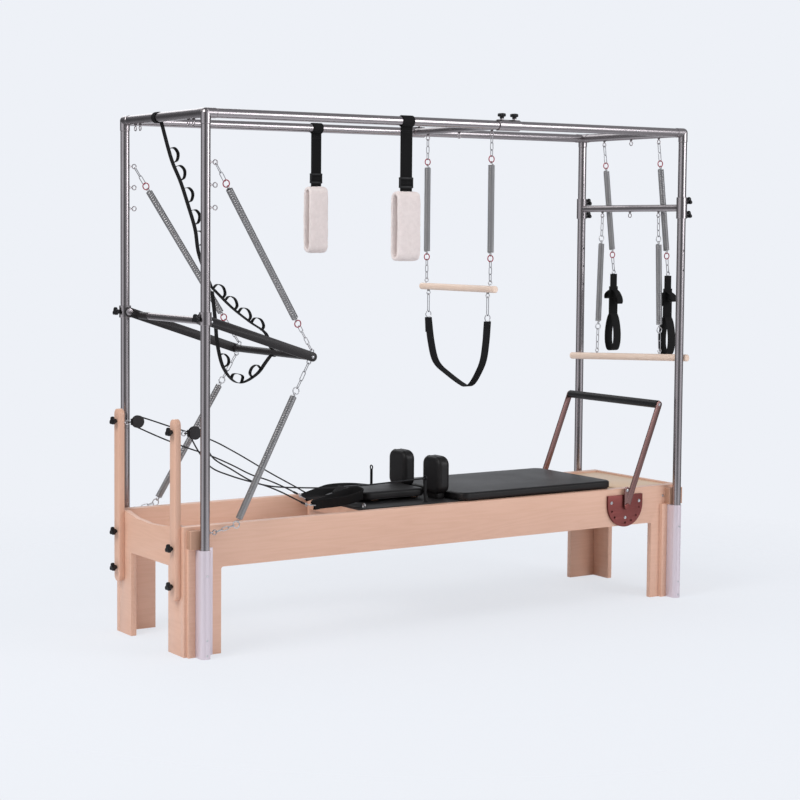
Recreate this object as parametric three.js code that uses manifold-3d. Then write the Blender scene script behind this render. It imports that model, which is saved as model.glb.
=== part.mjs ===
// Pilates trapeze table: a sliding-carriage bed under a four-post steel canopy.
// Millimetres. +X runs to the foot end, -Y is the near side, +Z is up.
// The origin is on the floor, under the middle of the table.

import * as THREE from 'three';
import { mergeVertices } from 'three/addons/utils/BufferGeometryUtils.js';
import Module from 'manifold-3d';

const wasm = await Module();
wasm.setup();

// Driving sizes of the canopy
const postInset = 64;
const postSpacingY = 696;
const canopyZ = 2110;
const tubeR = 19;
const tubeWall = 2;
const elbowWall = 1.5;
const elbowReachShare = 2.2;
const seat = 0.3;
const overrun = 1;
const round = 10;
const coarse = 8;
const weldTolerance = 1e-4;

// Driving sizes of the wooden bed
const bedLength = 2568;
const bedWidth = 590;
const bedTopZ = 511;
const railBottomZ = 344;
const panelThickness = 24;
const sideLegWidth = 166;
const linerThickness = 18;
const linerBottomZ = 380;
const ledgeWidth = 30;
const ledgeThickness = 20;
const endBoardThickness = 24;
const endLegWidth = 107;
const scoopMargin = 33;
const scoopDepth = 24;
const scoopPullShare = 4 / 3;
const legCornerRadius = 12;
const spacerOuter = 52;
const spacerInner = 25;
const battenWidth = 30;
const battenDepth = 18;
const spacerHeight = 74;
const spacerRise = 1;

// Platform and spring bar inside the foot end
const platformLength = 285;
const platformThickness = 18;
const platformDrop = 6;
const cheekThickness = 18;
const springBarInset = 336;
const springBarDepth = 16;
const springBarHeight = 40;
const springBarEyeR = 9;
const springBarEyeWire = 2.5;
const reformerSpringSpacing = 90;
const reformerSpringCount = 4;

// Post sockets
const socketHeight = 425;
const socketWall = 3;
const socketFloor = 6;
const socketFlangeWidth = 40;
const socketFlangeThickness = 4;

// Eyes, links, rings and springs
const eyeR = 9;
const eyeWire = 2.5;
const eyeNeck = 8;
const nutR = 5.6;
const nutHeight = 6;
const linkWire = 2;
const linkWidth = 15;
const linkPlay = 0.45;
const ringR = 15;
const ringWire = 2.5;
const springR = 13;
const springWire = 2;
const springLead = 14;
const curlSteps = 8;
const curlEaseSteps = 3;
const wireSides = 5;
const arcSteps = 4;
const rigSides = 3;
const ringSteps = 6;
const shankSides = 4;
const upperEyeDrops = [187, 274, 361];
const postEyeX = 42;
const lowerEyeZ = 492;
const longSpringCurls = 4;
const springCurls = 4;

// Push-through bar at the head end
const pushPivotZ = 1323;
const pushReachX = 508;
const pushDropZ = 165;
const pushArmY = 312;
const pushArmThickness = 10;
const pushArmDepth = 38;
const pushTubeR = 15;
const pushHandleR = 15;
const pushHandleShare = 0.09;
const pushEyeY = 295;
const collarR = 25;
const collarHeight = 50;
const pivotPinR = 8;
const pivotHeadR = 15;
const pivotHead = 4;
const pinPlay = 0.4;

// Foot bar and its quadrant plates
const footPivotInset = 332;
const footPivotZ = 432;
const footBarLength = 488;
const footBarLean = 22;
const footArmY = 315;
const footArmWidth = 30;
const footArmThickness = 7;
const footLeverLength = 74;
const footRodR = 10;
const gripR = 18;
const quadrantR = 101;
const quadrantTopZ = 484;
const quadrantPlate = 3;
const quadrantSpace = 5;
const quadrantHoleR = 5;
const quadrantHoleShare = 0.82;
const quadrantHoleAngles = [-160, -138, -90, -65, -40, -12];
const quadrantSpacerShares = [[-0.8, 0.2], [0.8, 0.2], [0, -0.5]];
const quadrantStraight = 43;

// Carriage
const carriageInset = 379;
const carriageLength = 1320;
const carriageHalfWidth = 238;
const deckThickness = 12;
const deckTopZ = 513.5;
const beamThickness = 16;
const beamDepth = 92;
const beamY = 196;
const wheelR = 28;
const wheelWidth = 16;
const wheelY = 236;
const axleR = 6;
const headAxleInset = 115;
const footAxleInset = 65;
const ropePostInset = 335;
const ropePostY = 207;
const cleatInset = 24;
const springAnchorInset = 545;
const springParkGap = 20;
const ropePostTopZ = 628;
const ropePostR = 5;
const ropePostBaseR = 10;
const padOverhang = 7;
const padLength = 844;
const padHalfWidth = 270;
const padThickness = 34;
const padCrown = 5;
const drawnShare = 0.5;
const padCornerShare = 0.16;
const headrestCornerShare = 0.3;
const restCornerShare = 0.5;
const headrestGap = 80;
const headrestLength = 314;
const headrestHalfWidth = 118;
const headrestThickness = 36;
const restThicknessX = 60;
const restWidthY = 130;
const restY = 130;
const restTopZ = 697;
const restGap = 38;
const restFootDrop = 22;
const restBlockShare = 0.6;

// Risers, pulleys and knobs at the head end
const riserY = 247;
const riserWidth = 48;
const riserThickness = 24;
const riserBottomZ = 218;
const riserTopZ = 930;
const riserKnobZ = [276, 425, 880];
const lowerRiserKnobZ = riserKnobZ.slice(0, 2);
const knobR = 19;
const knobHubR = 8;
const knobPoints = 9;
const knobStudR = 4;
const knobThickness = 14;
const knobNeck = 12;
const pulleyZ = 872;
const pulleyR = 26;
const sheaveR = 22;
const sheaveWidth = 10;
const sheaveFlange = 1.5;
const sheaveGroove = 5;
const cheekGap = 0.8;
const cheekPlate = 3;
const pulleyReach = 72;

// Trapeze carrier and what hangs from it
const carrierX = 230;
const carrierTubeR = 15;
const sleeveR = 24;
const sleeveLength = 112;
const carrierKnobShift = 33;
const sleevePlay = 0.4;
const trapezeEyeY = 236;
const trapezeSpringDrop = 152;
const trapezeSpringLength = 397;
const trapezeBarDrop = 695;
const trapezeBarR = 15;
const trapezeBarHalf = 275;
const slingWidth = 38;
const slingThickness = 4;
const slingDrop = 139;
const slingLength = 290;

// Height bar and roll-down bar at the foot end
const heightBarDrop = 337;
const heightBarR = 16;
const heightSleeveHalf = 48;
const heightKnobRise = 31;
const heightEyeY = 195;
const rollSpringDrop = 155;
const rollSpringLength = 390;
const rollBarDrop = 693;
const rollBarHalf = 362;
const rollBarR = 16;
const rollBarYaw = 6.5;
const rollBarTilt = 2.3;

// Hand and foot straps at the foot end
const strapEyeY = 189;
const strapReach = 70;
const strapSpringDrop = 148;
const strapSpringLength = 394;
const strapRingDrop = 653;
const strapLength = 359;
const webWidth = 38;
const webThickness = 4;
const strapLoopHalf = 33;
const strapNeckShare = 0.5;

// Padded loops on the two canopy rails
const paddedLoopX = -290;
const nearLoopDrop = 284;
const nearLoopLength = 287;
const nearLoopWidth = 118;
const farLoopDrop = 253;
const farLoopLength = 294;
const farLoopWidth = 100;
const loopWebShare = 0.52;
const fleeceDepth = 62;
const fleeceThickness = 20;

// Ladder strap and hauling ropes
const ladderWidth = 30;
const ladderThickness = 3;
const ladderHeadY = 54;
const ladderLap = 6;
const ladderLeaveAngle = -51.6;
const ladderHookStart = 115;
const ladderHookSteps = 12;
const ladderHookTurns = 8;
const ropeR = 3;
const ropeSides = 8;
const ropeSteps = 32;
const wrapSteps = 6;
const loopWidth = 38;
const snapHookR = 5;

// Places worked out from the driving sizes
const postX = bedLength / 2 - postInset;
const postSpacingX = 2 * postX;
const postY = postSpacingY / 2;
const bedEndX = bedLength / 2;
const bedSideY = bedWidth / 2;
const panelInnerY = bedSideY - panelThickness;
const linerInnerY = panelInnerY - linerThickness;
const endBoardX = bedEndX - endBoardThickness;
const ledgeTopZ = linerBottomZ + ledgeThickness;
const springBarX = bedEndX - springBarInset;
const footPivotX = bedEndX - footPivotInset;
const carriageFootX = bedEndX - carriageInset;
const carriageHeadX = carriageFootX - carriageLength;
const headAxleX = carriageHeadX + headAxleInset;
const footAxleX = carriageFootX - footAxleInset;
const ropePostX = carriageHeadX + ropePostInset;
const padFootX = carriageFootX + padOverhang;
const padHeadX = padFootX - padLength;
const headrestFootX = padHeadX - headrestGap;
const headrestHeadX = headrestFootX - headrestLength;
const restX = padHeadX - restGap;
const upperEyeZ = upperEyeDrops.map((drop) => canopyZ - drop);
const trapezeSpringTopZ = canopyZ - trapezeSpringDrop;
const trapezeSpringBottomZ = trapezeSpringTopZ - trapezeSpringLength;
const trapezeBarZ = canopyZ - trapezeBarDrop;
const slingTopZ = trapezeBarZ - slingDrop;
const slingBottomZ = slingTopZ - slingLength;
const heightBarZ = canopyZ - heightBarDrop;
const rollSpringTopZ = heightBarZ - rollSpringDrop;
const rollSpringBottomZ = rollSpringTopZ - rollSpringLength;
const rollBarZ = heightBarZ - rollBarDrop;
const strapBottomX = postX + strapReach;
const strapSpringTopZ = canopyZ - strapSpringDrop;
const strapSpringBottomZ = strapSpringTopZ - strapSpringLength;
const strapRingZ = canopyZ - strapRingDrop;
const strapBottomZ = strapRingZ - strapLength;
const axleZ = ledgeTopZ + seat + wheelR;
const deckBottomZ = deckTopZ - deckThickness;
const elbowReach = tubeR * elbowReachShare;
const elbowR = tubeR + elbowWall;
const riserOuterX = bedEndX + seat + riserThickness;

const V = (x, y, z) => new THREE.Vector3(x, y, z);
const AXIS_X = V(1, 0, 0);
const AXIS_Y = V(0, 1, 0);
const AXIS_Z = V(0, 0, 1);
const degrees = THREE.MathUtils.degToRad;
const ends = [-1, 1];
const sideName = (side) => (side < 0 ? 'near' : 'far');
const endName = (end) => (end < 0 ? 'head' : 'foot');

// Materials
const finish = (color, roughness, metalness) => new THREE.MeshStandardMaterial({ color, roughness, metalness });
const maple = finish(0xe2bfa4, 0.55, 0);
const paleWood = finish(0xead9bd, 0.5, 0);
const steel = finish(0xb9babd, 0.25, 1);
const aluminium = finish(0xcfccd6, 0.35, 1);
const darkSteel = finish(0x34343a, 0.4, 0.7);
const plateSteel = finish(0x7a4a48, 0.3, 1);
const springSteel = finish(0x77777b, 0.35, 1);
const vinyl = finish(0x17171a, 0.45, 0);
const blackPlastic = finish(0x121214, 0.5, 0);
const webbing = finish(0x141416, 0.8, 0);
const fleece = finish(0xe9e1df, 0.95, 0);
const ropeBlack = finish(0x0f0f11, 0.7, 0);

// Closed solids and their joins
function solid(geometry) {
  geometry.deleteAttribute('normal');
  geometry.deleteAttribute('uv');
  const welded = mergeVertices(geometry, weldTolerance);
  return new wasm.Manifold(new wasm.Mesh({
    numProp: 3,
    vertProperties: new Float32Array(welded.attributes.position.array),
    triVerts: new Uint32Array(welded.index.array),
  }));
}

const join = (...solids) => solids.reduce((a, b) => a.add(b));
const cut = (body, ...tools) => tools.reduce((a, b) => a.subtract(b), body);

function toGeometry(body) {
  const raw = body.getMesh();
  const geometry = new THREE.BufferGeometry();
  geometry.setAttribute('position', new THREE.BufferAttribute(new Float32Array(raw.vertProperties), 3));
  geometry.setIndex(new THREE.BufferAttribute(new Uint32Array(raw.triVerts), 1));
  return geometry;
}

const table = new THREE.Group();

function place(name, body, material) {
  const mesh = new THREE.Mesh(toGeometry(body), material);
  mesh.name = name;
  table.add(mesh);
}

// A bore or loop of straight sides that stays clear of the round piece inside it
const clearOf = (radius, play, sides) => (radius + play) / Math.cos(Math.PI / sides);

// A box given by its spans along the three axes
function slab([x0, x1], [y0, y1], [z0, z1]) {
  const geometry = new THREE.BoxGeometry(Math.abs(x1 - x0), Math.abs(y1 - y0), Math.abs(z1 - z0));
  geometry.translate((x0 + x1) / 2, (y0 + y1) / 2, (z0 + z1) / 2);
  return solid(geometry);
}

const about = (middle, half) => [middle - half, middle + half];

function aim(geometry, from, to) {
  const turn = new THREE.Quaternion().setFromUnitVectors(AXIS_Y, to.clone().sub(from).normalize());
  geometry.applyQuaternion(turn);
  const middle = from.clone().add(to).multiplyScalar(0.5);
  return geometry.translate(middle.x, middle.y, middle.z);
}

function rod(radius, from, to, sides = round) {
  return solid(aim(new THREE.CylinderGeometry(radius, radius, from.distanceTo(to), sides), from, to));
}

function pipe(outer, inner, from, to, sides = round) {
  const half = from.distanceTo(to) / 2;
  const profile = [[inner, -half], [outer, -half], [outer, half], [inner, half], [inner, -half]]
    .map(([r, h]) => new THREE.Vector2(r, h));
  return solid(aim(new THREE.LatheGeometry(profile, sides), from, to));
}

// A turned body along an axis, from pairs of radius and distance
function turned(profile, base, direction, sides = round) {
  const points = profile.map(([r, h]) => new THREE.Vector2(r, h));
  const geometry = new THREE.LatheGeometry(points, sides);
  geometry.applyQuaternion(new THREE.Quaternion().setFromUnitVectors(AXIS_Y, direction.clone().normalize()));
  return solid(geometry.translate(base.x, base.y, base.z));
}

// A section swept through points; its first axis stays square to the wide direction
function sweep(points, section, wide, closed = false) {
  const count = points.length;
  const positions = [];
  let across = wide.clone();
  points.forEach((point, i) => {
    const before = closed ? points[(i + count - 1) % count] : points[Math.max(i - 1, 0)];
    const after = closed ? points[(i + 1) % count] : points[Math.min(i + 1, count - 1)];
    const along = after.clone().sub(before).normalize();
    across = across.clone().addScaledVector(along, -across.dot(along)).normalize();
    const up = along.clone().cross(across);
    for (const [a, b] of section) {
      positions.push(...point.clone().addScaledVector(across, a).addScaledVector(up, b).toArray());
    }
  });
  const n = section.length;
  const index = [];
  const spans = closed ? count : count - 1;
  for (let i = 0; i < spans; i += 1) {
    for (let j = 0; j < n; j += 1) {
      const a = i * n + j;
      const b = i * n + ((j + 1) % n);
      const c = ((i + 1) % count) * n + j;
      const d = ((i + 1) % count) * n + ((j + 1) % n);
      index.push(a, b, d, a, d, c);
    }
  }
  if (!closed) {
    for (let j = 1; j < n - 1; j += 1) {
      index.push(0, j + 1, j);
      const last = (count - 1) * n;
      index.push(last, last + j, last + j + 1);
    }
  }
  const geometry = new THREE.BufferGeometry();
  geometry.setAttribute('position', new THREE.Float32BufferAttribute(positions, 3));
  geometry.setIndex(index);
  return solid(geometry);
}

function roundSection(radius, sides) {
  return Array.from({ length: sides }, (_, k) => {
    const turn = (2 * Math.PI * k) / sides;
    return [radius * Math.cos(turn), radius * Math.sin(turn)];
  });
}

const flatSection = (width, thickness) => [
  [-width / 2, -thickness / 2], [width / 2, -thickness / 2],
  [width / 2, thickness / 2], [-width / 2, thickness / 2],
];

// A wire ring whose plane holds the two given directions
function wireRing(centre, radius, wire, along, across) {
  const points = halfStepCircle(ringSteps).map(([a, b]) => centre.clone()
    .addScaledVector(along, radius * a).addScaledVector(across, radius * b));
  return sweep(points, roundSection(wire, rigSides), along.clone().cross(across), true);
}

// A unit circle as points half a step off its axes, and how far its flats reach
function halfStepCircle(steps) {
  return Array.from({ length: steps }, (_, k) => {
    const turn = (2 * Math.PI * (k + 0.5)) / steps;
    return [Math.cos(turn), Math.sin(turn)];
  });
}

const ringFlatShare = Math.cos(Math.PI / ringSteps);
const wireFlatShare = Math.cos(Math.PI / rigSides);
// How far inside an eye's centre the end wire of a link lies
const linkCatch = eyeR * ringFlatShare - (eyeWire + linkWire) * wireFlatShare - linkPlay;
const linkShares = [[1, 0.7], [0, 1], [-1, 0.7], [-1, -0.7], [0, -1], [1, -0.7]];

// A long link whose end wires cross at two points
function wireLink(from, to, width, wire, across) {
  const along = to.clone().sub(from).normalize();
  const middle = from.clone().add(to).multiplyScalar(0.5);
  const length = from.distanceTo(to);
  const points = linkShares.map(([a, b]) => middle.clone()
    .addScaledVector(along, (a * length) / 2).addScaledVector(across, (b * width) / 2));
  return sweep(points, roundSection(wire, rigSides), along.clone().cross(across), true);
}

// A plate: an outline in the XZ plane with a thickness along Y
function platePlaneXZ(shape, y0, thickness, curveSegments = wireSides) {
  const geometry = new THREE.ExtrudeGeometry(shape, { depth: thickness, bevelEnabled: false, curveSegments });
  geometry.rotateX(Math.PI / 2);
  return solid(geometry.translate(0, y0 + thickness, 0));
}

// A flat bar with round ends between two points of an XZ plane
function flatBar(from, to, half, y0, thickness) {
  const along = to.clone().sub(from);
  const start = Math.atan2(-along.x, along.z);
  const outline = new THREE.Shape();
  outline.moveTo(from.x + half * Math.cos(start), from.z + half * Math.sin(start));
  outline.absarc(to.x, to.z, half, start, start + Math.PI, false);
  outline.absarc(from.x, from.z, half, start + Math.PI, start + 2 * Math.PI, false);
  outline.closePath();
  return platePlaneXZ(outline, y0, thickness, arcSteps);
}

// A plate: an outline in the YZ plane with a thickness along X
function platePlaneYZ(shape, x0, thickness, curveSegments = arcSteps) {
  const geometry = new THREE.ExtrudeGeometry(shape, { depth: thickness, bevelEnabled: false, curveSegments });
  geometry.rotateX(Math.PI / 2);
  geometry.rotateZ(Math.PI / 2);
  return solid(geometry.translate(x0, 0, 0));
}

// An eye bolt: a shank that leaves a tube, and a ring for a link
function eyeBolt(root, direction, across, reach) {
  const centre = root.clone().addScaledVector(direction, reach);
  const tip = centre.clone().addScaledVector(direction, -eyeR * ringFlatShare);
  return join(rod(eyeWire, root, tip, shankSides), wireRing(centre, eyeR, eyeWire, direction, across));
}

// A three-lobed hand knob on its stud
function lobedKnob(base, direction, across, stud) {
  const outline = Array.from({ length: knobPoints }, (_, k) => {
    const turn = (2 * Math.PI * k) / knobPoints;
    const swell = (1 + Math.cos(3 * turn)) / 2;
    const reach = knobHubR + (knobR - knobHubR) * swell;
    return new THREE.Vector2(reach * Math.cos(turn), reach * Math.sin(turn));
  });
  const head = new THREE.ExtrudeGeometry(new THREE.Shape(outline), { depth: knobThickness, bevelEnabled: false });
  const up = direction.clone().cross(across);
  head.applyMatrix4(new THREE.Matrix4().makeBasis(across, up, direction));
  const face = base.clone().addScaledVector(direction, knobNeck);
  head.translate(face.x, face.y, face.z);
  const shaft = rod(
    knobStudR,
    base.clone().addScaledVector(direction, -stud),
    face.clone().addScaledVector(direction, overrun),
    shankSides,
  );
  return join(solid(head), shaft);
}

// Least gap of a wire to itself, on the points of its centre line
let leastWireGap = Infinity;
function noteWireGap(points, wire) {
  for (let i = 0; i < points.length; i += 1) {
    for (let j = i + curlSteps - 1; j < points.length; j += 1) {
      leastWireGap = Math.min(leastWireGap, points[i].distanceTo(points[j]) - 2 * wire);
    }
  }
}

// A tension spring between two points: a straight lead, curls and a straight lead
function tensionSpring(from, to, curls, across) {
  const along = to.clone().sub(from).normalize();
  const side = across.clone().addScaledVector(along, -across.dot(along)).normalize();
  const up = along.clone().cross(side);
  const length = from.distanceTo(to);
  const coilLength = length - 2 * springLead;
  const steps = curls * curlSteps;
  const points = [from.clone(), from.clone().addScaledVector(along, springLead - springWire)];
  for (let k = 0; k <= steps; k += 1) {
    const turn = (2 * Math.PI * k) / curlSteps;
    const reach = springLead + (coilLength * k) / steps;
    const edge = Math.min(k, steps - k);
    const radius = springR * Math.min(1, (edge + 1) / curlEaseSteps);
    points.push(from.clone().addScaledVector(along, reach)
      .addScaledVector(side, radius * Math.cos(turn)).addScaledVector(up, radius * Math.sin(turn)));
  }
  points.push(to.clone().addScaledVector(along, springWire - springLead), to.clone());
  noteWireGap(points, springWire);
  return sweep(points, roundSection(springWire, wireSides), side);
}

// A spring with its links and rings, hung between two eyes
function riggedSpring(topEye, springTop, springBottom, bottomEye, curls, across) {
  const along = springBottom.clone().sub(springTop).normalize();
  const side = across.clone().addScaledVector(along, -across.dot(along)).normalize();
  const normal = along.clone().cross(side);
  const ringReach = ringR * ringFlatShare;
  const upper = topEye.clone().addScaledVector(along, linkCatch);
  const upperRing = springTop.clone().addScaledVector(along, -ringReach);
  const lowerRing = springBottom.clone().addScaledVector(along, ringReach);
  const away = bottomEye.clone().sub(lowerRing).normalize();
  const lower = bottomEye.clone().addScaledVector(away, -linkCatch);
  return join(
    wireLink(upper, upperRing.clone().addScaledVector(along, -ringReach), linkWidth, linkWire, normal),
    wireRing(upperRing, ringR, ringWire, along, side),
    tensionSpring(springTop, springBottom, curls, side),
    wireRing(lowerRing, ringR, ringWire, along, side),
    wireLink(lowerRing.clone().addScaledVector(away, ringReach), lower, linkWidth, linkWire, normal),
  );
}

// A cushion: a rounded block, drawn in round its edge and crowned on top
function cushion([x0, x1], [y0, y1], [z0, z1], crown, cornerShare, stationsX = 6, stationsY = 4) {
  const middle = V((x0 + x1) / 2, (y0 + y1) / 2, (z0 + z1) / 2);
  const half = V((x1 - x0) / 2, (y1 - y0) / 2, (z1 - z0) / 2);
  const geometry = new THREE.BoxGeometry(2, 2, 2, stationsX, stationsY, 3);
  const corner = Math.min(half.x, half.y) * cornerShare;
  const place3 = geometry.attributes.position;
  for (let i = 0; i < place3.count; i += 1) {
    const u = place3.getX(i);
    const v = place3.getY(i);
    const w = place3.getZ(i);
    const drawn = half.z * drawnShare * w * w;
    let x = u * (half.x - drawn);
    let y = v * (half.y - drawn);
    const overX = Math.abs(x) - (half.x - drawn - corner);
    const overY = Math.abs(y) - (half.y - drawn - corner);
    if (overX > 0 && overY > 0) {
      const over = Math.max(Math.hypot(overX, overY), corner);
      x = Math.sign(x) * (half.x - drawn - corner + (overX * corner) / over);
      y = Math.sign(y) * (half.y - drawn - corner + (overY * corner) / over);
    }
    const swell = w > 0 ? w * crown * (1 - u ** 4) * (1 - v ** 4) : 0;
    place3.setXYZ(i, middle.x + x, middle.y + y, middle.z - crown / 2 + w * (half.z - crown / 2) + swell);
  }
  return solid(geometry);
}

// Side panels: rail and legs in one board, with a laminated liner and the wheel ledge inside
function sidePanel(side) {
  const outline = new THREE.Shape();
  const legX = bedEndX - sideLegWidth;
  outline.moveTo(-bedEndX, 0);
  outline.lineTo(-legX, 0);
  outline.lineTo(-legX, railBottomZ - legCornerRadius);
  outline.quadraticCurveTo(-legX, railBottomZ, legCornerRadius - legX, railBottomZ);
  outline.lineTo(legX - legCornerRadius, railBottomZ);
  outline.quadraticCurveTo(legX, railBottomZ, legX, railBottomZ - legCornerRadius);
  outline.lineTo(legX, 0);
  outline.lineTo(bedEndX, 0);
  outline.lineTo(bedEndX, bedTopZ);
  outline.lineTo(-bedEndX, bedTopZ);
  outline.closePath();
  const innerY = side * panelInnerY;
  const outerY = side * bedSideY;
  const board = platePlaneXZ(outline, Math.min(innerY, outerY), panelThickness);
  const lap = side * overrun;
  const liner = slab([-bedEndX, bedEndX], [innerY + lap, side * linerInnerY], [linerBottomZ, bedTopZ]);
  const ledge = slab(
    [-endBoardX + seat, endBoardX - seat],
    [side * linerInnerY + lap, side * (linerInnerY - ledgeWidth)],
    [linerBottomZ, ledgeTopZ],
  );
  const spacers = ends.map((end) => slab(
    [end * (postX - spacerInner), end * (postX + spacerOuter)],
    [outerY - lap, side * (postY - tubeR - seat)],
    [socketHeight + spacerRise, socketHeight + spacerRise + spacerHeight],
  ));
  const battenX = side * (tubeR + socketWall + seat);
  const battens = ends.map((end) => slab(
    [end * postX + battenX, end * postX + battenX + side * battenWidth],
    [outerY - lap, outerY + side * battenDepth],
    [0, socketHeight + spacerRise + overrun],
  ));
  place(`side_panel_${sideName(side)}`, join(board, liner, ledge, ...spacers, ...battens), maple);
}

// End boards between the liners, with their legs and, at the head, a scooped top
function endBoard(end, scooped) {
  const upperY = linerInnerY - seat;
  const lowerY = panelInnerY - seat;
  const stepZ = linerBottomZ - seat;
  const outline = new THREE.Shape();
  outline.moveTo(-lowerY, 0);
  outline.lineTo(endLegWidth - lowerY, 0);
  outline.lineTo(endLegWidth - lowerY, railBottomZ);
  outline.lineTo(lowerY - endLegWidth, railBottomZ);
  outline.lineTo(lowerY - endLegWidth, 0);
  outline.lineTo(lowerY, 0);
  outline.lineTo(lowerY, stepZ);
  outline.lineTo(upperY, stepZ);
  outline.lineTo(upperY, bedTopZ);
  if (scooped) {
    const scoopHalf = linerInnerY - scoopMargin;
    outline.lineTo(scoopHalf, bedTopZ);
    outline.bezierCurveTo(
      scoopHalf / 2, bedTopZ - scoopDepth * scoopPullShare,
      -scoopHalf / 2, bedTopZ - scoopDepth * scoopPullShare,
      -scoopHalf, bedTopZ,
    );
  }
  outline.lineTo(-upperY, bedTopZ);
  outline.lineTo(-upperY, stepZ);
  outline.lineTo(-lowerY, stepZ);
  outline.closePath();
  let board = platePlaneYZ(outline, end < 0 ? -bedEndX : endBoardX, endBoardThickness);
  if (scooped) {
    for (const side of ends) {
      for (const z of lowerRiserKnobZ) {
        const from = V(-bedEndX - overrun, side * riserY, z);
        board = cut(board, rod(clearOf(knobStudR, pinPlay, coarse), from, V(-endBoardX + overrun, side * riserY, z), coarse));
      }
    }
  }
  place(`${endName(end)}_board`, board, maple);
}

// A standing platform that bridges the two ledges at the foot end
function standingPlatform() {
  const spanX = [endBoardX - seat - platformLength, endBoardX - seat];
  const topZ = bedTopZ - platformDrop;
  const halfY = linerInnerY - seat;
  const top = slab(spanX, [-halfY, halfY], [topZ - platformThickness, topZ]);
  const cheeks = ends.map((side) => slab(
    [spanX[0] + cheekThickness, spanX[1]],
    [side * halfY, side * (halfY - cheekThickness)],
    [ledgeTopZ + seat, topZ - platformThickness + overrun],
  ));
  place('standing_platform', join(top, ...cheeks), paleWood);
}

// The spring bar across the ledges, with an eye for each carriage spring
function springBar() {
  const bottom = ledgeTopZ + seat;
  const halfY = linerInnerY - ledgeWidth / 2;
  const bar = slab(about(springBarX, springBarDepth / 2), [-halfY, halfY], [bottom, bottom + springBarHeight]);
  const eyes = reformerSpringRows().map((y) => wireRing(
    V(springBarX - springBarDepth / 2 - springBarEyeR + springBarEyeWire, y, bottom + springBarHeight / 2),
    springBarEyeR, springBarEyeWire, AXIS_X, AXIS_Z,
  ));
  place('spring_bar', join(bar, ...eyes), darkSteel);
}

function reformerSpringRows() {
  const first = (-(reformerSpringCount - 1) * reformerSpringSpacing) / 2;
  return Array.from({ length: reformerSpringCount }, (_, k) => first + k * reformerSpringSpacing);
}

// Aluminium sockets that hold the posts to the side panels
function postSocket(end, side) {
  const outer = tubeR + socketWall;
  const x = end * postX;
  const y = side * postY;
  const panelY = side * (bedSideY + seat);
  const column = rod(outer, V(x, y, 0), V(x, y, socketHeight), round);
  const web = slab(about(x, outer), [panelY, y], [0, socketHeight]);
  const hollow = slab(
    about(x, outer - socketFlangeThickness),
    [panelY + side * socketFlangeThickness, y - side * outer],
    [-overrun, socketHeight + overrun],
  );
  const flange = slab(
    [x, x - side * (outer + socketFlangeWidth)],
    [panelY, panelY + side * socketFlangeThickness],
    [0, socketHeight],
  );
  const bore = rod(clearOf(tubeR, seat, round), V(x, y, socketFloor), V(x, y, socketHeight + overrun), round);
  const body = cut(join(column, cut(web, hollow), flange), bore);
  place(`post_socket_${endName(end)}_${sideName(side)}`, body, aluminium);
}

// Canopy posts; the head pair carries eyes and the push-through bar's pivot collars
function post(end, side) {
  const x = end * postX;
  const y = side * postY;
  const tube = pipe(tubeR, tubeR - tubeWall, V(x, y, socketFloor + seat), V(x, y, canopyZ - elbowReach - seat));
  let body = tube;
  if (end < 0) {
    const eyeReach = postEyeX - tubeR + tubeWall / 2;
    const eyes = [...upperEyeZ, lowerEyeZ].map((z) => eyeBolt(V(x + tubeR - tubeWall / 2, y, z), AXIS_X, AXIS_Z, eyeReach));
    const collar = pipe(
      collarR, tubeR - tubeWall / 2,
      V(x, y, pushPivotZ - collarHeight / 2), V(x, y, pushPivotZ + collarHeight / 2),
    );
    const innerY = side * (pushArmY - pushArmThickness / 2 - seat);
    const pin = rod(pivotPinR, V(x, side * (postY - tubeR), pushPivotZ), V(x, innerY, pushPivotZ), coarse);
    const head = rod(pivotHeadR, V(x, innerY, pushPivotZ), V(x, innerY - side * pivotHead, pushPivotZ), coarse);
    const knob = lobedKnob(V(x - collarR, y, pushPivotZ), AXIS_X.clone().negate(), AXIS_Z, nutHeight);
    body = join(tube, collar, pin, head, knob, ...eyes);
  }
  place(`post_${endName(end)}_${sideName(side)}`, body, steel);
}

// Canopy rails along the table and end bars across it, with the corner elbows
function canopyRail(side) {
  const y = side * postY;
  const reach = postX - elbowReach - seat;
  place(`canopy_rail_${sideName(side)}`, pipe(tubeR, tubeR - tubeWall, V(-reach, y, canopyZ), V(reach, y, canopyZ)), steel);
}

const headBarEyeShares = [0.3, 0.36];
const footBarEyeY = [-strapEyeY, 0, strapEyeY];

function canopyEndBar(end) {
  const x = end * postX;
  const bar = rod(tubeR, V(x, -postY, canopyZ), V(x, postY, canopyZ));
  const elbows = ends.flatMap((side) => {
    const corner = V(x, side * postY, canopyZ);
    return [
      rod(elbowR, corner, corner.clone().addScaledVector(AXIS_Z, -elbowReach)),
      rod(elbowR, corner, corner.clone().addScaledVector(AXIS_X, -end * elbowReach)),
      solid(new THREE.SphereGeometry(elbowR, coarse, coarse / 2).translate(...corner.toArray())),
    ];
  });
  const eyeY = end < 0
    ? ends.flatMap((side) => headBarEyeShares.map((share) => side * share * postSpacingY))
    : footBarEyeY;
  const eyes = eyeY.map((y) => eyeBolt(
    V(x, y, canopyZ), AXIS_Z.clone().negate(), end < 0 ? AXIS_Y : AXIS_X, tubeR + eyeR + eyeNeck,
  ));
  place(`canopy_end_bar_${endName(end)}`, join(bar, ...elbows, ...eyes), steel);
}

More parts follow.
